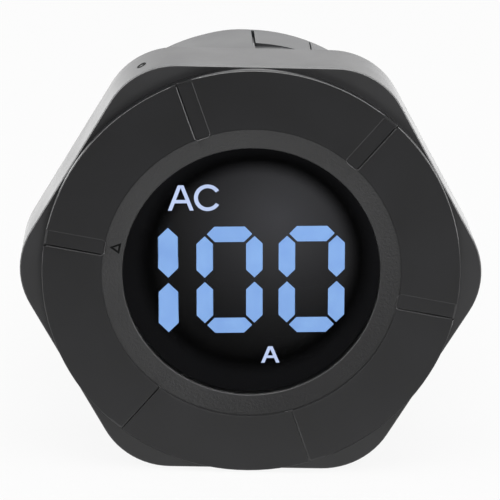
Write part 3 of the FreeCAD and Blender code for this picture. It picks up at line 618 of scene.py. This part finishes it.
def soft_copy(node_name, width, material, body, segments=2,
              before=None, find=sharp_edges, after=None, normals=None):
    """Stands a copy with rounded edges in for a solid. The last four adapt it to one solid."""
    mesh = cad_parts[node_name].data.copy()
    mesh.name = node_name + "_soft"
    work = bmesh.new()
    work.from_mesh(mesh)
    bmesh.ops.remove_doubles(work, verts=work.verts, dist=MERGE_DISTANCE)
    bmesh.ops.dissolve_limit(work, angle_limit=PLAIN_ANGLE, verts=work.verts, edges=work.edges)
    if before:
        before(work)
    edges = find(work)
    cut_bevel(work, edges, width, segments)
    if after:
        after(work)
    for face in work.faces:
        face.smooth = True
    work.to_mesh(mesh)
    work.free()
    mesh.set_sharp_from_angle(angle=KEEP_SHARP_ANGLE)
    mesh.materials.clear()
    mesh.materials.append(material)
    made = put(node_name + "_soft", mesh)
    weigh = made.modifiers.new("weigh", "WEIGHTED_NORMAL")
    weigh.weight = 100
    weigh.keep_sharp = True
    graph = bpy.context.evaluated_depsgraph_get()
    weighed = bpy.data.meshes.new_from_object(
        made.evaluated_get(graph), preserve_all_data_layers=True, depsgraph=graph)
    made.modifiers.clear()
    made.data = weighed
    if normals:
        normals(weighed)
    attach(made, body)
    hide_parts(node_name)
    print(made.name, len(weighed.polygons), "faces,", len(edges), "edges rounded")


soft_copy("bezel_ring", 0.05 * MM, bezel_abs, "meter", find=cut_rims)
soft_copy("front_housing", 0.04 * MM, housing_abs, "meter",
          before=narrow_chamfer, normals=smooth_hexagon)
soft_copy("lock_nut", 0.08 * MM, nut_abs, "lock_nut")
soft_copy("terminal_block", 0.1 * MM, block_pbt, "meter", after=draw_in_catches)
soft_copy("transformer_socket", 0.06 * MM, nylon, "meter")
soft_copy("transformer_socket_pins", 0.08 * MM, tin, "meter")
soft_copy("terminal_lugs", 0.06 * MM, brass, "meter")
soft_copy("panel_gasket", 0.12 * MM, rubber, "meter")
soft_copy("thrust_washer", 0.06 * MM, zinc, "thrust_washer")
for side in ("left", "right"):
    soft_copy("clamp_washer_" + side, 0.1 * MM, zinc, "clamp_" + side)
    soft_copy("terminal_screw_" + side, 0.16 * MM, nickel, "screw_" + side, segments=3)

# %% [markdown]
# The barrel's thread is one ridge that winds round it, so a Geometry Nodes tree makes it:
# a spiral curve carries a small trapezoid, with the sizes as named inputs. The same tree
# makes the fine threads of the two terminal screws.

# %% Thread tree
FOOT_SHARE, TIP_SHARE = 0.86, 0.22


def thread_tree():
    tree = bpy.data.node_groups.new("thread_ridge", "GeometryNodeTree")
    face = tree.interface
    face.new_socket("Geometry", in_out="OUTPUT", socket_type="NodeSocketGeometry")
    for name in ("Root radius", "Crest radius", "Pitch", "Start", "Length"):
        face.new_socket(name, in_out="INPUT", socket_type="NodeSocketFloat")
    face.new_socket("Steps per turn", in_out="INPUT", socket_type="NodeSocketInt")
    face.new_socket("Material", in_out="INPUT", socket_type="NodeSocketMaterial")
    given = tree.nodes.new("NodeGroupInput").outputs
    root, crest = given["Root radius"], given["Crest radius"]
    pitch, length = given["Pitch"], given["Length"]
    middle = calc(tree, "MULTIPLY", calc(tree, "ADD", root, crest), 0.5)
    spiral = add(tree, "GeometryNodeCurveSpiral", Resolution=given["Steps per turn"],
                 Rotations=calc(tree, "DIVIDE", length, pitch), Height=length,
                 Start_Radius=middle, End_Radius=middle, Reverse=True)
    upright = add(tree, "GeometryNodeSetCurveNormal", {"mode": "Z_UP"}, Curve=spiral.outputs[0])
    section = add(tree, "GeometryNodeCurvePrimitiveQuadrilateral", {"mode": "TRAPEZOID"},
                  Height=calc(tree, "SUBTRACT", crest, root), Offset=0,
                  Bottom_Width=calc(tree, "MULTIPLY", pitch, FOOT_SHARE),
                  Top_Width=calc(tree, "MULTIPLY", pitch, TIP_SHARE))
    outward = add(tree, "GeometryNodeTransform", Geometry=section.outputs[0],
                  Rotation=(0, 0, math.radians(SECTION_TURN)))
    ridge = add(tree, "GeometryNodeCurveToMesh", Curve=upright.outputs[0],
                Profile_Curve=outward.outputs[0], Fill_Caps=True)
    stand = add(tree, "ShaderNodeCombineXYZ", Y=given["Start"])
    laid = add(tree, "GeometryNodeTransform", Geometry=ridge.outputs[0],
               Translation=stand.outputs[0], Rotation=(-math.pi / 2, 0, 0))
    real = add(tree, "GeometryNodeRealizeInstances", Geometry=laid.outputs[0])
    painted = add(tree, "GeometryNodeSetMaterial", Geometry=real.outputs[0],
                  Material=given["Material"])
    add(tree, "NodeGroupOutput", Geometry=painted.outputs[0])
    return tree


THREADS = thread_tree()
print("thread tree with", len(THREADS.nodes), "nodes")

# %% [markdown]
# A modifier's inputs are set by their identifiers before the object is first evaluated. The
# result is then copied into a plain mesh, and the modifier goes. A ridge starts a little
# inside its core, so that no gap shows along its foot.

# %% Threads
RIDGE_SINK = 0.03 * MM
FIRST_RIDGE = BARREL_PITCH * 0.3
SCREW_ROOT_R, SCREW_CREST_R = 1.43 * MM, 1.5 * MM
SCREW_TIP = 0.5 * MM
SCREW_THREAD_L = 4.0 * MM


def thread(name, values, body, shift=(0, 0, 0)):
    """Runs the thread tree with named values and keeps its plain mesh."""
    carrier = put(name, bpy.data.meshes.new(name))
    modifier = carrier.modifiers.new("make", "NODES")
    modifier.node_group = THREADS
    for socket in THREADS.interface.items_tree:
        if socket.in_out == "INPUT" and socket.name in values:
            modifier[socket.identifier] = values[socket.name]
    bpy.context.view_layer.update()
    evaluated = carrier.evaluated_get(bpy.context.evaluated_depsgraph_get())
    mesh = bpy.data.meshes.new_from_object(evaluated)
    carrier.modifiers.clear()
    mesh.transform(Matrix.Translation(shift))
    work = bmesh.new()
    work.from_mesh(mesh)
    bmesh.ops.recalc_face_normals(work, faces=work.faces)
    work.to_mesh(mesh)
    work.free()
    carrier.data = mesh
    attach(carrier, body)
    reach = [math.hypot(v.co.x - shift[0], v.co.z - shift[2]) / MM for v in mesh.vertices]
    print(name, len(mesh.polygons), "faces, radius", round(min(reach), 3), "to", round(max(reach), 3))


thread("barrel_thread", {
    "Root radius": BARREL_ROOT_R - RIDGE_SINK, "Crest radius": BARREL_CREST_R,
    "Pitch": BARREL_PITCH, "Start": BARREL_THREAD_START + FIRST_RIDGE,
    "Length": BARREL_THREAD_END - BARREL_THREAD_START - BARREL_PITCH,
    "Steps per turn": 96, "Material": housing_abs}, "meter")
for side in ("left", "right"):
    low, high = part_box("terminal_screw_" + side)
    middle = (low + high) / 2
    thread("terminal_screw_thread_" + side, {
        "Root radius": SCREW_ROOT_R, "Crest radius": SCREW_CREST_R, "Pitch": SCREW_PITCH,
        "Start": low.y + SCREW_TIP, "Length": SCREW_THREAD_L, "Steps per turn": 32,
        "Material": nickel}, "screw_" + side, (middle.x, 0, middle.z))

# %% [markdown]
# The unit letters glow through the same film as the digits. Each letter is a flat outline,
# drawn in plain strokes: two legs and a bar, and an open ring. They are one hundredth of a
# millimetre thick, in front of the film and behind the window.

# %% Unit letters
LETTER_T = 0.012 * MM
LETTER_Y = MASK_BOX[0].y - LETTER_T / 2
C_OPENING, C_STEPS = 33, 32
C_HALF_HEIGHT, C_THIN = 0.515, 0.95


def letter_a(width, apex, leg, bar_low, bar_high):
    """Outlines of a capital A on a unit height, the second one its counter."""
    half, apex_half = width / 2, apex / 2
    lean = half - apex_half
    inner = half - leg
    low_x, high_x = inner - lean * bar_low, inner - lean * bar_high
    outer = [(-half, 0), (-apex_half, 1), (apex_half, 1), (half, 0), (inner, 0),
             (low_x, bar_low), (-low_x, bar_low), (-inner, 0)]
    return [outer, [(-high_x, bar_high), (high_x, bar_high), (0, inner / lean)]]


def letter_c(width, stroke):
    """Outline of a capital C on a unit height, an ellipse ring that is open to the right."""
    half = width / 2
    start, end = math.radians(C_OPENING), math.radians(360 - C_OPENING)
    turns = [start + (end - start) * k / C_STEPS for k in range(C_STEPS + 1)]
    outside = [(half * math.cos(t), 0.5 + C_HALF_HEIGHT * math.sin(t)) for t in turns]
    thin = C_HALF_HEIGHT - stroke * C_THIN
    inside = [((half - stroke) * math.cos(t), 0.5 + thin * math.sin(t)) for t in turns]
    return [outside + inside[::-1]]


def unit_letter(name, outlines, height, x, z):
    """A thin plate whose lower middle is at x, z before the display's turn."""
    curve = bpy.data.curves.new(name, "CURVE")
    curve.dimensions = "2D"
    curve.fill_mode = "BOTH"
    curve.extrude = LETTER_T / 2
    for outline in outlines:
        line = curve.splines.new("POLY")
        line.points.add(len(outline) - 1)
        for point, (across, up) in zip(line.points, outline):
            point.co = (x + across * height, z + up * height, 0, 1)
        line.use_cyclic_u = True
    sketch = put(name + "_sketch", curve)
    bpy.context.view_layer.update()
    graph = bpy.context.evaluated_depsgraph_get()
    mesh = bpy.data.meshes.new_from_object(sketch.evaluated_get(graph))
    bpy.data.objects.remove(sketch)
    upright = Matrix.Rotation(math.pi / 2, 4, "X")
    turned = Matrix.Rotation(-DISPLAY_TURN, 4, "Y")
    mesh.transform(Matrix.Translation((0, LETTER_Y, 0)) @ turned @ upright)
    mesh.materials.clear()
    mesh.materials.append(legend_light)
    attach(put(name, mesh), "meter")
    print(name, len(mesh.polygons), "faces")


LETTERS = [
    ("legend_unit_a", letter_a(0.985, 0.22, 0.15, 0.29, 0.42), 1.86 * MM, -4.99 * MM, 4.35 * MM),
    ("legend_unit_c", letter_c(1.02, 0.148), 1.9 * MM, -3.08 * MM, 4.33 * MM),
    ("legend_ampere", letter_a(1.07, 0.26, 0.2, 0.29, 0.44), 1.25 * MM, 1.4 * MM, -7.17 * MM),
]
for name, outlines, height, x, z in LETTERS:
    unit_letter(name, outlines, height, x, z)

# %% [markdown]
# The four upper grooves have a fine lip along their walls and round their inner end. It
# slopes into the groove at 45 degrees, so that it catches the light from above. All six have
# a level floor beside a deeper line, which lies along the wall away from the top and is
# wider in three of them.

# %% Grooves
UPPER_GROOVES = [50.3, 110.3, 170.3, 350.3]
LOWER_GROOVES = [230.3, 290.3]
GROOVE_HALF = 0.6 * MM
GROOVE_CORNER = 0.3 * MM
GROOVE_LAP = 0.1 * MM
CORNER_STEPS = 6
LIP = 0.05 * MM
LIP_DEPTH = 0.035 * MM
LIP_LIFT = 0.002 * MM
LIP_END_R = RING_BOX[1].x - OUTER_RIM_W
TRENCH_W = 0.14 * MM
WIDER_TRENCHES = {110.3: 0.18 * MM, 170.3: 0.19 * MM, 350.3: 0.19 * MM}
FLOOR_TOP = 0.027 * MM
FLOOR_FOOT = 0.125 * MM
FLOOR_PAST = 0.05 * MM
LOWER_FLOOR_IN, UPPER_FLOOR_IN = 0.01 * MM, -0.06 * MM


def groove_axes(degrees):
    """The directions along a groove, away from the axis, and across it."""
    at = math.radians(degrees)
    return Vector((math.cos(at), 0, math.sin(at))), Vector((-math.sin(at), 0, math.cos(at)))


def slope_y(radius):
    """Height of the sloped band's surface at a distance from the axis."""
    share = (SLOPE_OUTER_R - radius) / (SLOPE_OUTER_R - SLOPE_INNER_R)
    return FACE_Y + SLOPE_STEP + (SLOPE_DEPTH - SLOPE_STEP) * share


def groove_path(inset):
    """(radius, across) points along one wall, round the inner end and back."""
    half = GROOVE_HALF - inset
    low = SLOPE_OUTER_R - GROOVE_LAP + inset
    corner = GROOVE_CORNER - inset
    turns = [math.pi / 2 * k / CORNER_STEPS for k in range(CORNER_STEPS + 1)]
    points = [(LIP_END_R, half)]
    points += [(low + corner - corner * math.sin(t), half - corner + corner * math.cos(t))
               for t in turns]
    points += [(low + corner - corner * math.cos(t), corner - half - corner * math.sin(t))
               for t in turns]
    return points + [(LIP_END_R, -half)]


def lip_rows(work, degrees):
    """Three rows of corners: outside the groove, at its edge, and inside it."""
    outward, across = groove_axes(degrees)
    rows = []
    for inset, depth in ((0, None), (0, LIP_LIFT), (LIP, LIP_DEPTH)):
        row = []
        for radius, side in groove_path(inset):
            drop = depth
            if depth is None:
                on_slope = radius < SLOPE_OUTER_R
                radius = radius - LIP if on_slope else radius
                drop = slope_y(radius) - FACE_Y if on_slope else LIP_LIFT
            place = outward * radius + across * side
            place.y = FACE_Y + drop
            row.append(work.verts.new(place))
        rows.append(row)
    return rows


def groove_floor(work, degrees):
    """A thin slab, level beside the deeper line."""
    outward, across = groove_axes(degrees)
    if outward.x >= 0:
        across = -across
    start = SLOPE_OUTER_R + (LOWER_FLOOR_IN if degrees in LOWER_GROOVES else UPPER_FLOOR_IN)
    end = LIP_END_R + FLOOR_PAST
    wall = GROOVE_HALF - WIDER_TRENCHES.get(degrees, TRENCH_W)
    low, high = [], []
    for radius, side in ((start, -GROOVE_HALF), (start, wall), (end, wall), (end, -GROOVE_HALF)):
        place = outward * radius + across * side
        high.append(work.verts.new(place + Vector((0, FACE_Y + FLOOR_TOP, 0))))
        low.append(work.verts.new(place + Vector((0, FACE_Y + FLOOR_FOOT, 0))))
    made = [work.faces.new(high), work.faces.new(low[::-1])]
    for k in range(4):
        n = (k + 1) % 4
        made.append(work.faces.new((high[k], low[k], low[n], high[n])))
    bmesh.ops.recalc_face_normals(work, faces=made)


def finished(name, work, materials):
    """Turns a working mesh into an object that rides on the meter's body."""
    mesh = bpy.data.meshes.new(name)
    work.to_mesh(mesh)
    work.free()
    for material in materials:
        mesh.materials.append(material)
    made = put(name, mesh)
    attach(made, "meter")
    print(name, len(mesh.polygons), "faces")
    return made


def groove_lips():
    work = bmesh.new()
    for degrees in UPPER_GROOVES:
        rows = lip_rows(work, degrees)
        for first, second in zip(rows, rows[1:]):
            for k in range(len(first) - 1):
                corners = (first[k], first[k + 1], second[k + 1], second[k])
                if len({tuple(round(c, 8) for c in v.co) for v in corners}) > 2:
                    work.faces.new(corners)
    bmesh.ops.remove_doubles(work, verts=work.verts, dist=MERGE_DISTANCE)
    for face in work.faces:
        face.normal_update()
        if face.normal.y > 0:
            face.normal_flip()
    for degrees in UPPER_GROOVES + LOWER_GROOVES:
        groove_floor(work, degrees)
    finished("groove_lips", work, [bezel_abs])


groove_lips()

# %% [markdown]
# Where the plastic entered the tool, a stub is left standing in a small dimple of the flange.
# Round it lies a dark collar of painted shade, the dimple's shadow, which follows the
# flange's round corner.

# %% Gate stub
GATE_ANGLE = 119.4
GATE_Y = -3.5 * MM
GATE_SURFACE_R = HEX_ROUND_AT + HEX_ROUND_R
GATE_STEPS = 20
STUB_R = 0.16 * MM
STUB_ENDS = [(-0.2 * MM, STUB_R), (-0.01 * MM, STUB_R * 0.9)]
COLLAR_R, COLLAR_L = 0.37 * MM, 0.52 * MM
COLLAR_RIMS = [(1.0, -0.02 * MM), (0.96, 0.014 * MM), (0.56, 0.014 * MM), (0.5, -0.02 * MM)]


def bridge(work, first, second):
    """Faces between two rings of as many corners."""
    after = [(k + 1) % len(first) for k in range(len(first))]
    return [work.faces.new((first[k], first[n], second[n], second[k]))
            for k, n in enumerate(after)]


def gate_stub():
    """A short round stub along a radius of the flange, and the dark collar of painted shade round it."""
    outward, across = groove_axes(GATE_ANGLE)
    along, middle = Vector((0, 1, 0)), Vector((0, GATE_Y, 0))
    turns = [2 * math.pi * k / GATE_STEPS for k in range(GATE_STEPS)]
    work = bmesh.new()
    rings = [[work.verts.new(outward * (GATE_SURFACE_R + lift) + middle
                             + (across * math.cos(t) + along * math.sin(t)) * radius)
              for t in turns] for lift, radius in STUB_ENDS]
    bridge(work, *rings)
    for ring in rings:
        work.faces.new(ring)
    bmesh.ops.recalc_face_normals(work, faces=work.faces)
    collar = []
    for size, lift in COLLAR_RIMS:
        rim = []
        for t in turns:
            aside = COLLAR_R * size * math.cos(t)
            reach = GATE_SURFACE_R + lift - aside ** 2 / (2 * HEX_ROUND_R)
            up = Vector((0, GATE_Y + COLLAR_L * size * math.sin(t), 0))
            rim.append(work.verts.new(outward * reach + across * aside + up))
        collar.append(rim)
    # The collar wears the matt black as painted shade, the dimple's shadow.
    for outer, inner in zip(collar, collar[1:] + collar[:1]):
        for face in bridge(work, outer, inner):
            face.material_index = 1
    bmesh.ops.recalc_face_normals(work, faces=work.faces)
    finished("gate_stub", work, [housing_abs, matt_black_and_painted_shade])


gate_stub()

# %% [markdown]
# A small triangle is moulded into the sloped band, beside the left groove. It points
# outwards and shows which way the head is up. It is a shallow plate with a darker outline.

# %% Index mark
INDEX_ANGLE = 169.7
INDEX_CORNERS = [(10.3 * MM, 0), (9.5 * MM, 0.42 * MM), (9.5 * MM, -0.42 * MM)]
INDEX_RIMS = [(1.0, 0.0), (0.94, 0.02 * MM), (0.5, 0.02 * MM), (0.42, 0.004 * MM)]
INDEX_FOOT = 0.05 * MM


def index_corner(work, radius, side, lift):
    """A corner at a lift above the slope's surface."""
    outward, across = groove_axes(INDEX_ANGLE)
    place = outward * radius + across * side
    place.y = slope_y(radius) - lift
    return work.verts.new(place)


def index_mark():
    work = bmesh.new()
    corners = [Vector(corner) for corner in INDEX_CORNERS]
    centre = sum(corners, Vector((0, 0))) / 3
    rims = []
    for share, lift in INDEX_RIMS:
        points = [centre + (corner - centre) * share for corner in corners]
        rims.append([index_corner(work, point.x, point.y, lift) for point in points])
    for inner, outer in zip(rims[1:], rims):
        bridge(work, outer, inner)
    work.faces.new(rims[-1]).material_index = 1
    under = [index_corner(work, radius, side, -INDEX_FOOT) for radius, side in INDEX_CORNERS]
    bridge(work, under, rims[0])
    work.faces.new(under)
    bmesh.ops.recalc_face_normals(work, faces=work.faces)
    finished("index_mark", work, [matt_black_and_painted_shade, bezel_abs])


index_mark()

# %% [markdown]
# The window in the picture is one lathe-turned lens: flat nearly to its rim, where it drops
# by a hair, and stepped where the bezel holds it. Its back stays just clear of the film, so
# that the two surfaces don't fight for the same place.

# %% Window lens
LENS_CLEAR = 0.02 * MM
LENS_FLANGE_T = 0.48 * MM
RIM_STEPS = 10
LATHE_STEPS = 128
LATHE_SHARP_ANGLE = math.radians(35)


def lens_profile():
    """(radius, y) from the middle of the front, round the flange, to the middle of the back."""
    front, back = WINDOW_BOX[0].y, WINDOW_BOX[1].y - LENS_CLEAR
    flange_r, flange_y = WINDOW_BOX[1].x, back - LENS_FLANGE_T
    points = [(0.0, front)]
    for k in range(RIM_STEPS + 1):
        share = k / RIM_STEPS
        radius = WINDOW_FLAT_R + (WINDOW_R - WINDOW_FLAT_R) * share
        points.append((radius, front + WINDOW_RIM_DROP * share ** 2))
    points += [(WINDOW_R, flange_y), (flange_r, flange_y), (flange_r, back), (0.0, back)]
    return points


def lathe(name, profile, material):
    """Turns a profile about the axis, with a single corner where it meets the axis."""
    work = bmesh.new()
    turns = [2 * math.pi * k / LATHE_STEPS for k in range(LATHE_STEPS)]
    rings = []
    for radius, y in profile:
        ring = turns if radius else turns[:1]
        rings.append([work.verts.new((radius * math.cos(t), y, radius * math.sin(t)))
                      for t in ring])
    for first, second in zip(rings, rings[1:]):
        for k in range(LATHE_STEPS):
            n = (k + 1) % LATHE_STEPS
            corners = [first[k % len(first)], first[n % len(first)],
                       second[n % len(second)], second[k % len(second)]]
            work.faces.new(list(dict.fromkeys(corners)))
    bmesh.ops.remove_doubles(work, verts=work.verts, dist=MERGE_DISTANCE)
    bmesh.ops.recalc_face_normals(work, faces=work.faces)
    for face in work.faces:
        face.smooth = True
    made = finished(name, work, [material])
    made.data.set_sharp_from_angle(angle=LATHE_SHARP_ANGLE)
    return made


lens = lathe("window_lens", lens_profile(), window_acrylic)
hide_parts("display_window")

# %% [markdown]
# The lens's side is painted black, so that no light comes through it. The paint is a thin
# sleeve just inside the side, because one outside it would stand in the bezel.

# %% Painted side
PAINT_T = 0.008 * MM
PAINT_IN = 0.004 * MM
PAINT_BACK = 0.5 * MM


def rim_paint_profile():
    """The paint's section, a closed loop."""
    outer = WINDOW_R - PAINT_IN
    inner = outer - PAINT_T
    front = WINDOW_BOX[0].y + WINDOW_RIM_DROP + PAINT_IN
    back = WINDOW_BOX[1].y - PAINT_BACK
    return [(outer, front), (outer, back), (inner, back), (inner, front), (outer, front)]


lathe("window_rim_paint", rim_paint_profile(), matt_black_and_painted_shade)

# %% [markdown]
# A pale floor under the head keeps a soft shadow. Its own light is white to the camera, so
# the picture's ground is white while the object is lit no more than it should be. It isn't
# mirrored: the table in the sky below stands for it there.

# %% Floor
FLOOR_GAP = 0.05 * MM
FLOOR_Z = HOUSING_BOX[0].z - FLOOR_GAP
FLOOR_R, FLOOR_STEPS = 1.2, 96
FLOOR_GLOW = 0.9


def make_floor():
    work = bmesh.new()
    bmesh.ops.create_circle(work, cap_ends=True, segments=FLOOR_STEPS, radius=FLOOR_R)
    mesh = bpy.data.meshes.new("floor")
    work.to_mesh(mesh)
    work.free()
    mesh.transform(Matrix.Translation((0, 0, FLOOR_Z)))
    material = bpy.data.materials.new("paper_floor_white")
    material.use_nodes = True
    tree = material.node_tree
    tree.nodes.clear()
    paper = add(tree, "ShaderNodeBsdfDiffuse", Color=colour("F2F2F2"))
    glow = add(tree, "ShaderNodeEmission", Color=(1, 1, 1, 1), Strength=1.0)
    to_camera = tree.nodes.new("ShaderNodeLightPath").outputs["Is Camera Ray"]
    share = calc(tree, "MULTIPLY", to_camera, FLOOR_GLOW)
    mixed = add(tree, "ShaderNodeMixShader", in0=share, in1=paper.outputs[0], in2=glow.outputs[0])
    add(tree, "ShaderNodeOutputMaterial", Surface=mixed.outputs[0])
    mesh.materials.append(material)
    made = put("floor", mesh)
    made.visible_glossy = False
    made.visible_transmission = False


make_floor()
print("floor at", round(FLOOR_Z / MM, 2), "mm")

# %% [markdown]
# The sky is white to the camera, and as a light it is a plain pale grey. In reflections it is
# the tent that a photographer puts round a shiny object. Its dark opening in front keeps the
# window black, and it is darker above that too. A bright hoop of cloth at the sides draws the
# thin lines along 45 degree edges, a bright table lies below, and the cloth behind draws the
# head's sides as pale bands. The parts are bands of a direction's Y, from front to back, or
# of its Z, from below to above, and each fades in over a short stretch.

# %% World
SKY_AS_LIGHT = 0.6
SKY_SEEN = 0.97
TENT_OPENING = Vector((0.035, -0.965, -0.255)).normalized()
OPENING_INNER = math.cos(math.radians(7.5))
OPENING_OUTER = math.cos(math.radians(19))
OPENING_LEVEL = 0.02
HIGH_OPENING = Vector((-0.1, -0.99, 0.09)).normalized()
HIGH_INNER = math.cos(math.radians(11))
HIGH_OUTER = math.cos(math.radians(24))
HIGH_DARK = 0.9
HOOP_LEVEL = 11.0
TABLE_LEVEL = 2.4
TABLE_UNDER_LEVEL = 0.3
BACK_CLOTH_HIGH = 1.9
BACK_CLOTH_LOW = 3.0
CLOTH_FOOT_LEVEL = 0.1
HOOP_FRONT, HOOP_BACK, HOOP_FOOT = (-0.42, -0.34), (-0.03, 0.05), (-0.15, -0.05)
TABLE_EDGE, TABLE_UNDER = (-0.52, -0.42), (-0.66, -0.56)
CLOTH_RISE, CLOTH_FOOT = (-0.05, 0.12), (-0.45, -0.25)
BEHIND = (0.1, 0.4)


def opening(tree, way, middle, outer, inner, level):
    """One over most of the tent, and a lower level towards the middle of an opening."""
    facing = add(tree, "ShaderNodeVectorMath", {"operation": "DOT_PRODUCT"}, in0=way, in1=middle)
    return spread(tree, facing.outputs["Value"], 1.0, level, outer, inner)


def tent_front(tree, way, y, z):
    low = opening(tree, way, TENT_OPENING, OPENING_OUTER, OPENING_INNER, OPENING_LEVEL)
    high = opening(tree, way, HIGH_OPENING, HIGH_OUTER, HIGH_INNER, 1 - HIGH_DARK)
    band = calc(tree, "MULTIPLY", spread(tree, y, 0, 1, *HOOP_FRONT),
                spread(tree, y, 1, 0, *HOOP_BACK))
    hoop = calc(tree, "MULTIPLY", band, spread(tree, z, 0, HOOP_LEVEL, *HOOP_FOOT))
    table = calc(tree, "MULTIPLY", spread(tree, z, 1, 0, *TABLE_EDGE),
                 spread(tree, z, TABLE_UNDER_LEVEL, TABLE_LEVEL, *TABLE_UNDER))
    return calc(tree, "ADD", calc(tree, "ADD", calc(tree, "MULTIPLY", low, high), hoop), table)


def tent_cloth(tree, z):
    return calc(tree, "MULTIPLY", spread(tree, z, BACK_CLOTH_LOW, BACK_CLOTH_HIGH, *CLOTH_RISE),
                spread(tree, z, CLOTH_FOOT_LEVEL, 1, *CLOTH_FOOT))


def make_world():
    world = bpy.data.worlds.new("studio")
    bpy.context.scene.world = world
    world.use_nodes = True
    tree = world.node_tree
    tree.nodes.clear()
    ray = tree.nodes.new("ShaderNodeLightPath")
    way = tree.nodes.new("ShaderNodeTexCoord").outputs["Generated"]
    parts = add(tree, "ShaderNodeSeparateXYZ", Vector=way).outputs
    y, z = parts["Y"], parts["Z"]
    tent = between(tree, spread(tree, y, 0, 1, *BEHIND), tent_front(tree, way, y, z),
                   tent_cloth(tree, z))
    mirrored = between(tree, ray.outputs["Is Glossy Ray"], SKY_AS_LIGHT, tent)
    level = between(tree, ray.outputs["Is Camera Ray"], mirrored, SKY_SEEN)
    sky = add(tree, "ShaderNodeBackground", Color=(1, 1, 1, 1), Strength=level)
    add(tree, "ShaderNodeOutputWorld", Surface=sky.outputs[0])


make_world()
print("world ready")

# %% [markdown]
# Large soft lamps: one above and a little in front draws the thin lights along the upper
# edges, and two in front graze the ring and the sloped band, strongly from the right and
# faintly from the left.

# %% Lamps
LAMP_AIM = Vector((0, 0, 0))


def soft_lamp(name, place, width, height, level):
    """An area lamp of a plain level: 1 looks as bright as white paper in a mirror."""
    data = bpy.data.lights.new(name, "AREA")
    data.shape = "RECTANGLE"
    data.size = width
    data.size_y = height
    data.energy = level * math.pi * width * height
    lamp = bpy.data.objects.new(name, data)
    direction = LAMP_AIM - Vector(place)
    lamp.rotation_euler = direction.to_track_quat("-Z", "Y").to_euler()
    lamp.location = place
    lamp.visible_camera = False
    bpy.context.scene.collection.objects.link(lamp)


soft_lamp("lamp_above", (0.0, -0.12, 0.40), 0.35, 0.2, 3.0)
soft_lamp("lamp_right", (0.23, -0.64, 0.06), 0.2, 0.22, 4.0)
soft_lamp("lamp_left", (-0.24, -0.64, 0.03), 0.18, 0.26, 0.3)
print("lamps ready")

# %% [markdown]
# Colours are shown plainly, with no film look.

# %% View and finish
scene = bpy.context.scene
scene.view_settings.view_transform = "Standard"
